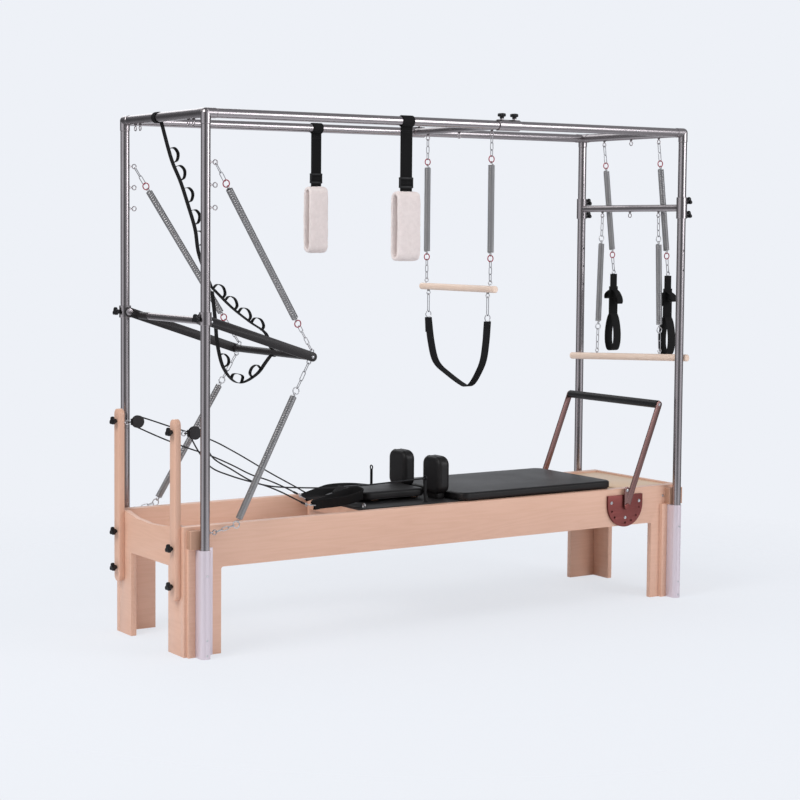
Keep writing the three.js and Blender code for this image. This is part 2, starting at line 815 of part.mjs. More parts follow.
// The push-through bar: two arms, the end tube and the handle tube near the pivots
function pushBar() {
  const pivot = V(-postX, 0, pushPivotZ);
  const tip = V(-postX + pushReachX, 0, pushPivotZ - pushDropZ);
  const along = tip.clone().sub(pivot);
  const direction = along.clone().normalize();
  const square = V(-direction.z, 0, direction.x);
  const half = pushArmDepth / 2;
  const arms = ends.map((side) => {
    const arm = flatBar(pivot, tip, half, side * pushArmY - pushArmThickness / 2, pushArmThickness);
    const hole = rod(
      clearOf(pivotPinR, pinPlay, coarse),
      V(pivot.x, side * pushArmY - pushArmThickness, pivot.z),
      V(pivot.x, side * pushArmY + pushArmThickness, pivot.z),
      coarse,
    );
    return cut(arm, hole);
  });
  const across = (point, radius) => rod(
    radius,
    V(point.x, -pushArmY, point.z),
    V(point.x, pushArmY, point.z),
    coarse,
  );
  const handle = pivot.clone().addScaledVector(along, pushHandleShare);
  const eyes = ends.flatMap((side) => ends.map((face) => wireRing(
    pushEye(side, face), eyeR, eyeWire, square, direction,
  )));
  place('push_bar', join(...arms, across(tip, pushTubeR), across(handle, pushHandleR), ...eyes), darkSteel);
}

// The eyes on both faces of the end tube
function pushEye(side, face) {
  const tip = V(-postX + pushReachX, side * pushEyeY, pushPivotZ - pushDropZ);
  const square = V(pushDropZ, 0, pushReachX).normalize();
  return tip.addScaledVector(square, face * (pushTubeR + eyeR * ringFlatShare - eyeWire));
}

// Quadrant plates: two half-moon plates on spacers, with the foot bar's pivot bolt
function quadrant(side) {
  const backY = side * (bedSideY + seat);
  const step = side * quadrantPlate;
  const frontY = backY + step + side * quadrantSpace;
  const outline = () => {
    const shape = new THREE.Shape();
    shape.moveTo(footPivotX - quadrantR, quadrantTopZ);
    shape.lineTo(footPivotX - quadrantR, quadrantTopZ - quadrantStraight);
    shape.absarc(footPivotX, quadrantTopZ - quadrantStraight, quadrantR, Math.PI, 2 * Math.PI, false);
    shape.lineTo(footPivotX + quadrantR, quadrantTopZ);
    shape.closePath();
    return shape;
  };
  const plate = (y) => platePlaneXZ(outline(), Math.min(y, y + step), quadrantPlate);
  const holes = quadrantHoleAngles.map((angle) => {
    const reach = quadrantR * quadrantHoleShare;
    const x = footPivotX + reach * Math.cos(degrees(angle));
    const z = quadrantTopZ - quadrantStraight + reach * Math.sin(degrees(angle));
    return rod(quadrantHoleR, V(x, frontY - step, z), V(x, frontY + 2 * step, z), wireSides);
  });
  const front = cut(plate(frontY), ...holes);
  const spacers = quadrantSpacerShares.map(([a, b]) => {
    const x = footPivotX + a * quadrantR;
    const z = footPivotZ + b * quadrantR;
    return rod(pivotPinR, V(x, backY + step / 2, z), V(x, frontY + step / 2, z), wireSides);
  });
  const outerY = side * (footArmY + footArmThickness / 2 + seat);
  const bolt = rod(pivotPinR, V(footPivotX, backY + step / 2, footPivotZ), V(footPivotX, outerY, footPivotZ), coarse);
  const head = rod(pivotHeadR, V(footPivotX, outerY, footPivotZ), V(footPivotX, outerY + side * pivotHead, footPivotZ), coarse);
  place(`quadrant_plates_${sideName(side)}`, join(plate(backY), front, ...spacers, bolt, head), plateSteel);
}

// The foot bar: two flat arms on a cross rod, a short latch lever each, and the padded grip
function footBar() {
  const lean = degrees(footBarLean);
  const direction = V(Math.sin(lean), 0, Math.cos(lean));
  const tip = V(footPivotX, 0, footPivotZ).addScaledVector(direction, footBarLength);
  const half = footArmWidth / 2;
  const pivot = V(footPivotX, 0, footPivotZ);
  const link = (to, y) => flatBar(pivot, to, half, y - footArmThickness / 2, footArmThickness);
  const arms = ends.map((side) => {
    const y = side * footArmY;
    const lever = link(V(footPivotX, 0, footPivotZ + footLeverLength), y);
    const hole = rod(
      clearOf(pivotPinR, pinPlay, coarse),
      V(footPivotX, y - footArmThickness, footPivotZ),
      V(footPivotX, y + footArmThickness, footPivotZ),
      coarse,
    );
    return cut(join(link(tip, y), lever), hole);
  });
  const crossRod = rod(footRodR, V(tip.x, -footArmY, tip.z), V(tip.x, footArmY, tip.z), coarse);
  place('foot_bar', join(...arms, crossRod), steel);
  const gripEnd = footArmY - footArmThickness / 2 - seat;
  place('foot_bar_grip', pipe(gripR, clearOf(footRodR, seat, coarse), V(tip.x, -gripEnd, tip.z), V(tip.x, gripEnd, tip.z), coarse), vinyl);
}

// Carriage: deck, side beams with axle bores, rope cleats, rope posts and headrest rest
const cleatX = carriageHeadX + cleatInset;

function carriageFrame() {
  const deck = slab([carriageHeadX, carriageFootX], [-carriageHalfWidth, carriageHalfWidth], [deckBottomZ, deckTopZ]);
  const beams = ends.map((side) => slab(
    [carriageHeadX, carriageFootX],
    about(side * beamY, beamThickness / 2),
    [deckBottomZ - beamDepth, deckBottomZ + overrun],
  ));
  const crossBeams = [carriageHeadX, carriageFootX - beamThickness].map((x) => slab(
    [x, x + beamThickness],
    [-beamY, beamY],
    [deckBottomZ - beamDepth / 2, deckBottomZ + overrun],
  ));
  const anchor = rod(springBarEyeR, V(springAnchorX, -beamY, springAnchorZ), V(springAnchorX, beamY, springAnchorZ), coarse);
  const bores = [headAxleX, footAxleX].map((x) => rod(
    clearOf(axleR, pinPlay, coarse), V(x, -beamY - beamThickness, axleZ), V(x, beamY + beamThickness, axleZ), coarse,
  ));
  const postRingZ = ropePostTopZ - eyeR - eyeWire;
  const ropePosts = ends.map((side) => {
    const foot = V(ropePostX, side * ropePostY, deckTopZ - overrun);
    return join(
      rod(ropePostR, foot, foot.clone().setZ(postRingZ - eyeR), coarse),
      rod(ropePostBaseR, foot, foot.clone().setZ(deckTopZ + ropePostR), coarse),
      wireRing(foot.clone().setZ(postRingZ), eyeR, eyeWire, AXIS_Y, AXIS_Z),
    );
  });
  const cleats = ends.map((side) => wireRing(
    V(cleatX, side * ropePostY, deckTopZ + springBarEyeR - springBarEyeWire), springBarEyeR, springBarEyeWire, AXIS_Y, AXIS_Z,
  ));
  const rest = slab(
    [headrestHeadX + headrestThickness, headrestHeadX + 2 * headrestThickness],
    [-headrestHalfWidth / 2, headrestHalfWidth / 2],
    [deckTopZ - overrun, headrestBottomZ - seat],
  );
  const hinge = slab(
    [headrestFootX - headrestThickness, headrestFootX],
    [-headrestHalfWidth / 2, headrestHalfWidth / 2],
    [deckTopZ - overrun, headrestBottomZ - seat],
  );
  const body = cut(join(deck, ...beams, ...crossBeams, anchor, rest, hinge, ...ropePosts, ...cleats), ...bores);
  place('carriage_frame', body, darkSteel);
}

const springAnchorX = carriageFootX - springAnchorInset;
const springAnchorZ = ledgeTopZ + seat + springBarHeight / 2;
const headrestBottomZ = deckTopZ + 2 * ropePostR;

// Wheels on their axles
function wheelAxle(name, x) {
  const axle = rod(axleR, V(x, -wheelY, axleZ), V(x, wheelY, axleZ), coarse);
  const wheels = ends.map((side) => rod(
    wheelR, V(x, side * wheelY - wheelWidth / 2, axleZ), V(x, side * wheelY + wheelWidth / 2, axleZ), round,
  ));
  place(name, join(axle, ...wheels), blackPlastic);
}

// Carriage springs, hooked on the anchor rod and parked short of the spring bar
function reformerSprings() {
  const reach = footAxleX - axleR - springParkGap;
  const springs = reformerSpringRows().map((y) => join(
    rod(springR, V(springAnchorX + 2 * springR, y, springAnchorZ), V(reach - 2 * springR, y, springAnchorZ), wireSides),
    rod(springWire * 2, V(springAnchorX + springBarEyeR, y, springAnchorZ), V(reach, y, springAnchorZ), wireSides),
  ));
  const carrierX0 = springAnchorX + springBarEyeR + seat;
  const carrier = slab(
    [carrierX0, carrierX0 + springBarDepth],
    [-beamY + beamThickness, beamY - beamThickness],
    about(springAnchorZ, springR),
  );
  place('carriage_springs', join(carrier, ...springs), springSteel);
}

// Upholstery of the carriage
function upholstery() {
  place('carriage_pad', cushion(
    [padHeadX, padFootX], [-padHalfWidth, padHalfWidth], [deckTopZ + seat, deckTopZ + seat + padThickness], padCrown, padCornerShare,
  ), vinyl);
  place('headrest', cushion(
    [headrestHeadX, headrestFootX],
    [-headrestHalfWidth, headrestHalfWidth],
    [headrestBottomZ, headrestBottomZ + headrestThickness],
    padCrown, headrestCornerShare, 4, 4,
  ), vinyl);
  for (const side of ends) {
    const spanX = about(restX, restThicknessX / 2);
    const spanY = about(side * restY, restWidthY / 2);
    const padBottom = deckTopZ + seat + restFootDrop;
    const pad = uprightCushion(spanX, spanY, [padBottom, restTopZ]);
    const block = slab(
      about(restX, (restThicknessX / 2) * restBlockShare),
      about(side * restY, (restWidthY / 2) * restBlockShare),
      [deckTopZ + seat, padBottom + restFootDrop],
    );
    place(`shoulder_rest_${sideName(side)}`, join(pad, block), vinyl);
  }
}

// An upright cushion: a cushion that lies in the YZ plane, rounded at its outline
function uprightCushion([x0, x1], [y0, y1], [z0, z1]) {
  const lying = cushion(
    about(0, (z1 - z0) / 2), about(0, (y1 - y0) / 2), about(0, (x1 - x0) / 2), padCrown, restCornerShare, 4, 4,
  );
  return lying.rotate([0, -90, 0]).translate([(x0 + x1) / 2, (y0 + y1) / 2, (z0 + z1) / 2]);
}

// Risers: slotless uprights bolted to the head board, with knobs and the pulley's eye
function riser(side) {
  const y = side * riserY;
  const half = riserWidth / 2;
  const outline = new THREE.Shape();
  outline.moveTo(y + half, riserTopZ - half);
  outline.absarc(y, riserTopZ - half, half, 0, Math.PI, false);
  outline.absarc(y, riserBottomZ + half, half, Math.PI, 2 * Math.PI, false);
  outline.closePath();
  const board = platePlaneYZ(outline, -riserOuterX, riserThickness);
  const outward = AXIS_X.clone().negate();
  const studReach = riserThickness + seat + endBoardThickness + seat + nutHeight;
  const knobs = riserKnobZ.map((z, i) => lobedKnob(V(-riserOuterX, y, z), outward, AXIS_Z, i < 2 ? studReach : riserThickness / 2));
  const nuts = lowerRiserKnobZ.map((z) => rod(
    nutR, V(-endBoardX + seat, y, z), V(-endBoardX + seat + nutHeight, y, z), wireSides,
  ));
  const root = V(-bedEndX, y, pulleyZ);
  const eye = join(
    rod(eyeWire, root.clone().addScaledVector(AXIS_X, -riserThickness / 2), V(pulleyEyeX - eyeR, y, pulleyZ), wireSides),
    wireRing(V(pulleyEyeX, y, pulleyZ), eyeR, eyeWire, AXIS_X, AXIS_Z),
  );
  place(`riser_${sideName(side)}`, join(board, ...knobs, ...nuts, eye), maple);
}

const pulleyEyeX = -bedEndX + 2 * knobNeck;
const pulleyX = pulleyEyeX + pulleyReach - 2 * knobNeck;

// Pulley blocks: cheeks on a head block, a shackle through the eye, and the sheave
function pulley(side) {
  const y = side * riserY;
  const inner = sheaveWidth / 2 + cheekGap;
  const outer = inner + cheekPlate;
  const centre = V(pulleyX, y, pulleyZ);
  const cheeks = ends.map((face) => rod(
    pulleyR, V(pulleyX, y + face * inner, pulleyZ), V(pulleyX, y + face * outer, pulleyZ), round,
  ));
  const pin = rod(axleR / 2, V(pulleyX, y - outer, pulleyZ), V(pulleyX, y + outer, pulleyZ), wireSides);
  const headX = pulleyX - pulleyR - ropeR;
  const head = slab([headX, headX + ropeR], [y - outer, y + outer], about(pulleyZ, pulleyR / 2));
  const straps = ends.map((face) => slab(
    [headX, pulleyX - pulleyR / 2],
    [y + face * inner, y + face * outer],
    about(pulleyZ, pulleyR / 2),
  ));
  const catchX = pulleyEyeX + linkCatch - linkWire / 2;
  const shackle = wireLink(V(catchX, y, pulleyZ), V(headX + linkWire, y, pulleyZ), linkWidth, linkWire, AXIS_Y);
  place(`pulley_block_${sideName(side)}`, join(...cheeks, pin, head, ...straps, shackle), blackPlastic);
  const groove = sheaveR - sheaveGroove;
  const bore = clearOf(axleR / 2, pinPlay, round);
  const half = sheaveWidth / 2;
  const inside = half - sheaveFlange;
  const profile = [
    [bore, -half], [sheaveR, -half], [groove, -inside], [groove, inside], [sheaveR, half], [bore, half], [bore, -half],
  ];
  place(`sheave_${sideName(side)}`, turned(profile, centre, AXIS_Y), steel);
}

// Springs of the push-through bar
const upperLead = 110;
const upperBody = 625;
const lowerLead = 145;
const lowerBody = 562;
const lowerSlack = 85;

function armSpring(name, topEye, bottomEye, [lead, body, slack], across) {
  const along = bottomEye.clone().addScaledVector(AXIS_X, slack).sub(topEye).normalize();
  const start = topEye.clone().addScaledVector(along, lead);
  const end = start.clone().addScaledVector(along, body);
  place(name, riggedSpring(topEye, start, end, bottomEye, longSpringCurls, across), springSteel);
}

function headSprings() {
  for (const side of ends) {
    const postEye = (z) => V(-postX + postEyeX, side * postY, z);
    const across = AXIS_X.clone().multiplyScalar(-side);
    const upper = [upperLead, upperBody, 0];
    const lower = [lowerLead, lowerBody, lowerSlack];
    armSpring(`upper_spring_${sideName(side)}`, postEye(upperEyeZ[0]), pushEye(side, 1), upper, across);
    armSpring(`lower_spring_${sideName(side)}`, pushEye(side, -1), postEye(lowerEyeZ), lower, across);
  }
}

// Trapeze carrier, springs, bar and sling
function trapeze() {
  const sleeve = (side) => pipe(
    sleeveR, tubeR + sleevePlay,
    V(carrierX - sleeveLength / 2, side * postY, canopyZ), V(carrierX + sleeveLength / 2, side * postY, canopyZ),
  );
  const reachY = postY - tubeR - (sleeveR - tubeR) / 2;
  const tube = rod(carrierTubeR, V(carrierX, -reachY, canopyZ), V(carrierX, reachY, canopyZ), round);
  const knobs = ends.flatMap((side) => ends.map((end) => lobedKnob(
    V(carrierX + end * carrierKnobShift, side * postY, canopyZ + sleeveR), AXIS_Z, AXIS_X,
    sleeveR - tubeR - 2 * sleevePlay,
  )));
  const down = AXIS_Z.clone().negate();
  const eyeDrop = carrierTubeR + eyeR + eyeNeck;
  const eyes = [-trapezeEyeY, 0, trapezeEyeY].map((y) => eyeBolt(
    V(carrierX, y, canopyZ), down, AXIS_X, eyeDrop,
  ));
  place('trapeze_carrier', join(sleeve(-1), sleeve(1), tube, ...knobs, ...eyes), steel);

  const barEye = trapezeBarR + eyeR + eyeNeck / 2;
  const barEyes = ends.flatMap((side) => [
    eyeBolt(V(carrierX, side * trapezeEyeY, trapezeBarZ), AXIS_Z, AXIS_X, barEye),
    eyeBolt(V(carrierX, side * slingTopY, trapezeBarZ), down, AXIS_X, barEye),
  ]);
  const bar = rod(trapezeBarR, V(carrierX, -trapezeBarHalf, trapezeBarZ), V(carrierX, trapezeBarHalf, trapezeBarZ));
  place('trapeze_bar', join(bar, ...barEyes), paleWood);

  for (const side of ends) {
    const y = side * trapezeEyeY;
    place(`trapeze_spring_${sideName(side)}`, riggedSpring(
      V(carrierX, y, canopyZ - eyeDrop), V(carrierX, y, trapezeSpringTopZ), V(carrierX, y, trapezeSpringBottomZ),
      V(carrierX, y, trapezeBarZ + barEye), springCurls, AXIS_X,
    ), springSteel);
  }
  sling(trapezeBarZ - barEye);
}

const slingTopY = trapezeEyeY - 2 * eyeR + springWire;
const slingShares = [
  [-1, 1], [-0.96, 0.7], [-0.88, 0.42], [-0.76, 0.26], [-0.5, 0.04], [-0.34, 0],
  [-0.16, 0.03], [0.3, 0.16], [0.62, 0.27], [0.76, 0.37], [0.9, 0.64], [1, 1],
];

function sling(eyeZ) {
  const catchZ = eyeZ - linkCatch;
  const route = slingShares.map(([a, b]) => V(carrierX, a * slingTopY, slingBottomZ + b * (slingTopZ - slingBottomZ)));
  const strap = sweep(route, flatSection(slingWidth, slingThickness), AXIS_X);
  const rigs = ends.flatMap((side) => {
    const y = side * slingTopY;
    const ringZ = slingTopZ + ringR * ringFlatShare;
    const ringTop = V(carrierX, y, ringZ + ringR * ringFlatShare);
    return [
      wireRing(V(carrierX, y, ringZ), ringR, ringWire, AXIS_Z, AXIS_X),
      wireLink(V(carrierX, y, catchZ), ringTop, linkWidth, linkWire, AXIS_Y),
    ];
  });
  place('trapeze_sling', join(strap, ...rigs), webbing);
}

// Height bar on the foot posts, roll-down springs and bar
function heightBar() {
  const sleeves = ends.map((side) => pipe(
    sleeveR, tubeR + sleevePlay,
    V(postX, side * postY, heightBarZ - heightSleeveHalf), V(postX, side * postY, heightBarZ + heightSleeveHalf),
  ));
  const reachY = postY - tubeR - (sleeveR - tubeR) / 2;
  const bar = rod(heightBarR, V(postX, -reachY, heightBarZ), V(postX, reachY, heightBarZ), round);
  const knobs = ends.flatMap((side) => ends.map((end) => lobedKnob(
    V(postX + sleeveR, side * postY, heightBarZ + end * heightKnobRise), AXIS_X, AXIS_Z,
    sleeveR - tubeR - 2 * sleevePlay,
  )));
  const down = AXIS_Z.clone().negate();
  const eyeDrop = heightBarR + eyeR + eyeNeck;
  const eyes = [-heightEyeY, 0, heightEyeY].map((y) => eyeBolt(
    V(postX, y, heightBarZ), down, AXIS_X, eyeDrop,
  ));
  place('height_bar', join(...sleeves, bar, ...knobs, ...eyes), steel);

  const yaw = degrees(rollBarYaw);
  const tilt = degrees(rollBarTilt);
  const along = V(Math.sin(yaw) * Math.cos(tilt), -Math.cos(yaw) * Math.cos(tilt), Math.sin(tilt));
  const centre = V(postX, 0, rollBarZ);
  const bar2 = rod(
    rollBarR,
    centre.clone().addScaledVector(along, -rollBarHalf),
    centre.clone().addScaledVector(along, rollBarHalf),
    round,
  );
  const rollEyes = ends.map((side) => centre.clone().addScaledVector(along, -side * heightEyeY));
  const barEye = rollBarR + eyeR + eyeNeck / 2;
  const eyeRings = rollEyes.map((root) => eyeBolt(root, AXIS_Z, AXIS_X, barEye));
  place('roll_down_bar', join(bar2, ...eyeRings), paleWood);
  ends.forEach((side, i) => {
    const top = V(postX, side * heightEyeY, heightBarZ - eyeDrop);
    const bottom = rollEyes[i].clone().addScaledVector(AXIS_Z, barEye);
    const at = (z) => top.clone().lerp(bottom, (top.z - z) / (top.z - bottom.z));
    place(`roll_down_spring_${sideName(side)}`, riggedSpring(
      top, at(rollSpringTopZ), at(rollSpringBottomZ), bottom, springCurls, AXIS_X,
    ), springSteel);
  });
}

// Springs and straps that hang behind the height bar
function footStraps() {
  for (const side of ends) {
    const y = side * strapEyeY;
    const top = V(postX, y, canopyZ - tubeR - eyeR - eyeNeck);
    const bottom = V(strapBottomX, y, strapRingZ + ringR);
    const at = (z) => top.clone().lerp(bottom, (top.z - z) / (top.z - bottom.z));
    place(`strap_spring_${sideName(side)}`, riggedSpring(
      top, at(strapSpringTopZ), at(strapSpringBottomZ), bottom, springCurls, AXIS_X,
    ), springSteel);

    const ring = wireRing(bottom, eyeR, eyeWire, AXIS_Z, AXIS_X);
    const neckTop = bottom.z - eyeR * ringFlatShare;
    const loopTop = strapRingZ - (strapRingZ - strapBottomZ) * strapNeckShare;
    const neck = slab(about(bottom.x, webWidth / 2), about(y, webThickness), [loopTop - webThickness, neckTop]);
    const lasso = strapLoopShares.map(([a, b]) => V(
      bottom.x, y + a * strapLoopHalf, strapBottomZ + webThickness / 2 + b * (loopTop - strapBottomZ),
    ));
    const loop = sweep(lasso, flatSection(webWidth, webThickness), AXIS_X, true);
    place(`foot_strap_${sideName(side)}`, join(ring, neck, loop), webbing);
  }
}

const strapLoopShares = [
  [0, 1], [0.6, 0.93], [0.95, 0.75], [1, 0.45], [0.8, 0.15], [0.35, 0],
  [-0.35, 0], [-0.8, 0.15], [-1, 0.45], [-0.95, 0.75], [-0.6, 0.93],
];

const paddedShares = [
  [-0.5, -0.3], [-0.36, -0.5], [0.36, -0.5], [0.5, -0.3], [0.5, 0.3], [0.36, 0.5], [-0.36, 0.5], [-0.5, 0.3],
];

// Fleece loops on webbing that wraps the canopy rails
function fleeceLoop(side, drop, length, width) {
  const x = paddedLoopX;
  const y = side * postY;
  const topZ = canopyZ - drop;
  const bottomZ = topZ - length;
  const wrapR = clearOf(tubeR + webThickness / 2, seat, round);
  const wrap = [];
  for (let k = 0; k < round; k += 1) {
    const turn = (2 * Math.PI * (k + 0.5)) / round;
    wrap.push(V(x, y + wrapR * Math.cos(turn), canopyZ + wrapR * Math.sin(turn)));
  }
  const webWide = width * loopWebShare;
  const band = sweep(wrap, flatSection(webWide, webThickness), AXIS_X, true);
  const strap = slab(about(x, webWide / 2), about(y, webThickness), [topZ - webThickness, canopyZ - wrapR]);
  const turnR = (fleeceDepth - fleeceThickness) / 2;
  const highZ = topZ - fleeceThickness / 2 - turnR;
  const lowZ = bottomZ + fleeceThickness / 2 + turnR;
  const loop = [];
  for (let k = 0; k < round; k += 1) {
    const turn = (2 * Math.PI * (k + 0.5)) / round;
    const centreZ = Math.sin(turn) > 0 ? highZ : lowZ;
    loop.push(V(x, y + turnR * Math.cos(turn), centreZ + turnR * Math.sin(turn)));
  }
  const section = paddedShares.map(([a, b]) => [a * width, b * fleeceThickness]);
  place(`padded_loop_${sideName(side)}`, join(band, strap, sweep(loop, section, AXIS_X, true)), fleece);
}

// Ladder strap from the head end bar to the push-through bar's end tube
const ladderRoute = [
  [-1165, 34, 1937], [-1131, 28, 1858], [-1098, 22, 1760], [-1070, 16, 1666], [-1056, 10, 1567], [-1002, 4, 1431],
];
const ladderUpper = [[-1002, 0, 1431], [-905, 0, 1345], [-820, 0, 1285], [-747, 0, 1237]];
const ladderLower = [
  [-745, 0, 1120], [-790, 0, 1070], [-877, 0, 1037], [-940, 0, 1090], [-974, 0, 1194], [-985, 0, 1298], [-1000, 0, 1415],
];

function ladderStrap() {
  const at = ([x, y, z]) => V(x, y, z);
  const wrapR = clearOf(tubeR + ladderThickness / 2, seat, round);
  const wrap = [];
  for (let k = 0; k < round; k += 1) {
    const turn = (2 * Math.PI * (k + 0.5)) / round;
    wrap.push(V(-postX + wrapR * Math.cos(turn), ladderHeadY, canopyZ + wrapR * Math.sin(turn)));
  }
  const flat = flatSection(ladderWidth, ladderThickness);
  const band = sweep(wrap, flat, AXIS_Y, true);
  const leave = degrees(ladderLeaveAngle);
  const start = V(-postX + wrapR * Math.cos(leave), ladderHeadY - ladderLap, canopyZ + wrapR * Math.sin(leave));
  const main = sweep([start, ...ladderRoute.map(at)], flat, AXIS_Y);
  const tip = V(-postX + pushReachX, 0, pushPivotZ - pushDropZ);
  const hookR = clearOf(pushTubeR + ladderThickness / 2, seat, ladderHookSteps);
  const hook = [];
  for (let k = 0; k <= ladderHookTurns; k += 1) {
    const turn = degrees(ladderHookStart - (k * 360) / ladderHookSteps);
    hook.push(V(tip.x + hookR * Math.cos(turn), 0, tip.z + hookR * Math.sin(turn)));
  }
  const lasso = sweep([...ladderUpper.map(at), ...hook, ...ladderLower.map(at)], flat, AXIS_Y);
  place('ladder_strap', join(band, main, lasso), webbing);
}

// Hauling ropes: from the carriage cleat round the sheave and back to the hand loops
const ropeRoutes = {
  near: {
    wrapStart: 34,
    wrapStep: 29.5,
    fixed: [
      [-72, -207, 615], [-250, -212, 611], [-400, -218, 608], [-539, -223, 609], [-684, -227, 618],
      [-851, -231, 636], [-952, -235, 662], [-1045, -240, 692], [-1136, -244, 732], [-1190, -247, 792],
    ],
    free: [
      [-1164, -246, 830], [-1130, -242, 772], [-1031, -222, 714], [-930, -200, 660],
      [-845, -182, 630], [-776, -171, 602], [-700, -158, 566], [-644, -148, 538.8],
    ],
  },
  far: {
    wrapStart: 70,
    wrapStep: 29,
    fixed: [
      [-380, 207, 520], [-410, 210, 523], [-468, 213, 554], [-601, 220, 627], [-764, 229, 722],
      [-877, 235, 780], [-1060, 245, 843],
    ],
    free: [
      [-1182, 247, 834], [-1100, 234, 796], [-1010, 204, 758], [-914, 163, 721], [-829, 142, 681], [-744, 120, 636], [-673, 102, 610],
      [-602, 84, 577], [-545, 70, 545.8],
    ],
  },
};

function rope(side) {
  const name = sideName(side);
  const { wrapStart, wrapStep, fixed, free } = ropeRoutes[name];
  const wrapR = clearOf(sheaveR - sheaveGroove + ropeR, 2 * seat, 180 / (wrapStep / 2));
  const wrap = [];
  for (let k = 0; k <= wrapSteps; k += 1) {
    const turn = degrees(wrapStart + (wrapSteps - k) * wrapStep);
    wrap.push([pulleyX + wrapR * Math.cos(turn), side * riserY, pulleyZ + wrapR * Math.sin(turn)]);
  }
  const route = name === 'near' ? [...fixed, ...wrap, ...free] : [...fixed, ...wrap.reverse(), ...free];
  const curve = new THREE.CatmullRomCurve3(route.map((p) => V(...p)), false, 'centripetal');
  place(`rope_${name}`, sweep(curve.getPoints(ropeSteps), roundSection(ropeR, ropeSides), AXIS_Y), ropeBlack);
}

// Two webbing hand loops with their snap hooks, thrown across each other on the carriage
const handLoopRoutes = [
  [[-590, -128, 533.8], [-545, -112, 532.8], [-480, -135, 533.8], [-425, -152, 534.8], [-350, -142, 534.8], [-342, -112, 534.8],
    [-425, -80, 534.8], [-480, -82, 533.8], [-545, -104, 532.8]],
  [[-520, 62, 534.8], [-470, 95, 533.8], [-400, 122, 532.8], [-330, 150, 532.8], [-200, 176, 532.8], [-110, 168, 532.8],
    [-120, 138, 532.8], [-300, 134, 532.8], [-362, 60, 532.8], [-400, -40, 532.8], [-425, -82, 533.8], [-450, -40, 533.8],
    [-480, 30, 533.8]],
];
const hookEnds = [[-638, -146, 535.8], [-539, 68, 542.8]];

function handLoops() {
  const bands = handLoopRoutes.map((route) => sweep(
    route.map((p) => V(...p)), flatSection(loopWidth, webThickness), AXIS_Z, true,
  ));
  const hooks = hookEnds.map((end, i) => rod(snapHookR, V(...end), V(...handLoopRoutes[i][0]), wireSides));
  place('hand_loops', join(...bands, ...hooks), webbing);
}

// The whole table
for (const side of ends) {
  sidePanel(side);
  quadrant(side);
  riser(side);
  pulley(side);
  canopyRail(side);
  rope(side);
  for (const end of ends) {
    postSocket(end, side);
    post(end, side);
  }
}
endBoard(-1, true);
endBoard(1, false);
canopyEndBar(-1);
canopyEndBar(1);
standingPlatform();
springBar();
carriageFrame();
wheelAxle('wheel_axle_head', headAxleX);
wheelAxle('wheel_axle_foot', footAxleX);
reformerSprings();
upholstery();
footBar();
pushBar();
headSprings();
trapeze();
heightBar();
footStraps();
fleeceLoop(-1, nearLoopDrop, nearLoopLength, nearLoopWidth);
fleeceLoop(1, farLoopDrop, farLoopLength, farLoopWidth);
ladderStrap();
handLoops();

// The origin lies under the middle of the whole object, so the bed stands a little toward the foot
const extent = new THREE.Box3().setFromObject(table);
table.position.x = -(extent.min.x + extent.max.x) / 2;

console.log(`Least gap of a spring wire to itself: ${leastWireGap.toFixed(2)} mm`);

export default table;
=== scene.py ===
"""Pilates trapeze table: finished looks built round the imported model."""

import math

import bmesh
import bpy
import numpy as np
from mathutils import Matrix, Vector


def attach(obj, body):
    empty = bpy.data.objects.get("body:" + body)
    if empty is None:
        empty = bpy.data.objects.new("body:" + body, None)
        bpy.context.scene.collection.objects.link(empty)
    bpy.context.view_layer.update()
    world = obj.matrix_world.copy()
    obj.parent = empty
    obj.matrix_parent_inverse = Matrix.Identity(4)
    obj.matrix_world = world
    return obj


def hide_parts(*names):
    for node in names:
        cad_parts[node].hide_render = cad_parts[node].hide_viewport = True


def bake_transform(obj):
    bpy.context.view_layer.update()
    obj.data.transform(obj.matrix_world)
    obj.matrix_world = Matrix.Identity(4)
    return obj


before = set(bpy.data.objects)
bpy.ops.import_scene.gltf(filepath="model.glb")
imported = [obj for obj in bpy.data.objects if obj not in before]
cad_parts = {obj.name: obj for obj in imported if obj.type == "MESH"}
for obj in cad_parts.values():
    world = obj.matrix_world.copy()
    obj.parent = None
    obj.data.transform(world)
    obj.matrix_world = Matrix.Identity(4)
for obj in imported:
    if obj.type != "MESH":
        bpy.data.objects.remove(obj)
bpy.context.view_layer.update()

bl_info = {
    "name": "Pilates Trapeze Table",
    "version": (1, 0, 0),
    "blender": (4, 5, 0),
    "location": "View3D > Sidebar > Trapeze Table",
    "description": "Builds the finished looks of a pilates trapeze table",
    "category": "Object",
}

# The bed stands this far toward the foot end of the model's origin
BED_SHIFT = 0.01265
ENDS = (-1, 1)
SIDE = {-1: "near", 1: "far"}
END = {-1: "head", 1: "foot"}
ALONG, ACROSS, UP = Vector((1, 0, 0)), Vector((0, 1, 0)), Vector((0, 0, 1))

# Canopy
POST_X, POST_Y, CANOPY_Z, TUBE_R = 1.22, 0.348, 2.11, 0.019
ELBOW_R, ELBOW_REACH = 0.0205, 0.0418
# Bed
BED_SIDE = 0.295
WALL = BED_SIDE + 0.0003
SOCKET_HEIGHT, SOCKET_R, FLANGE_WIDTH, FLANGE = 0.425, 0.022, 0.04, 0.004
AXLE_Z, DECK_TOP = 0.4283, 0.5135
# Eyes, links, rings and springs
EYE_R, EYE_WIRE = 0.009, 0.0022
LINK_WIRE, LINK_HALF, LINK_CATCH, LINK_PITCH = 0.0018, 0.0066, 0.0045, 0.034
RING_R, RING_WIRE, HOOK_R = 0.014, 0.0023, 0.0052
UPPER_EYES, LOWER_EYE = (1.923, 1.836, 1.749), 0.492
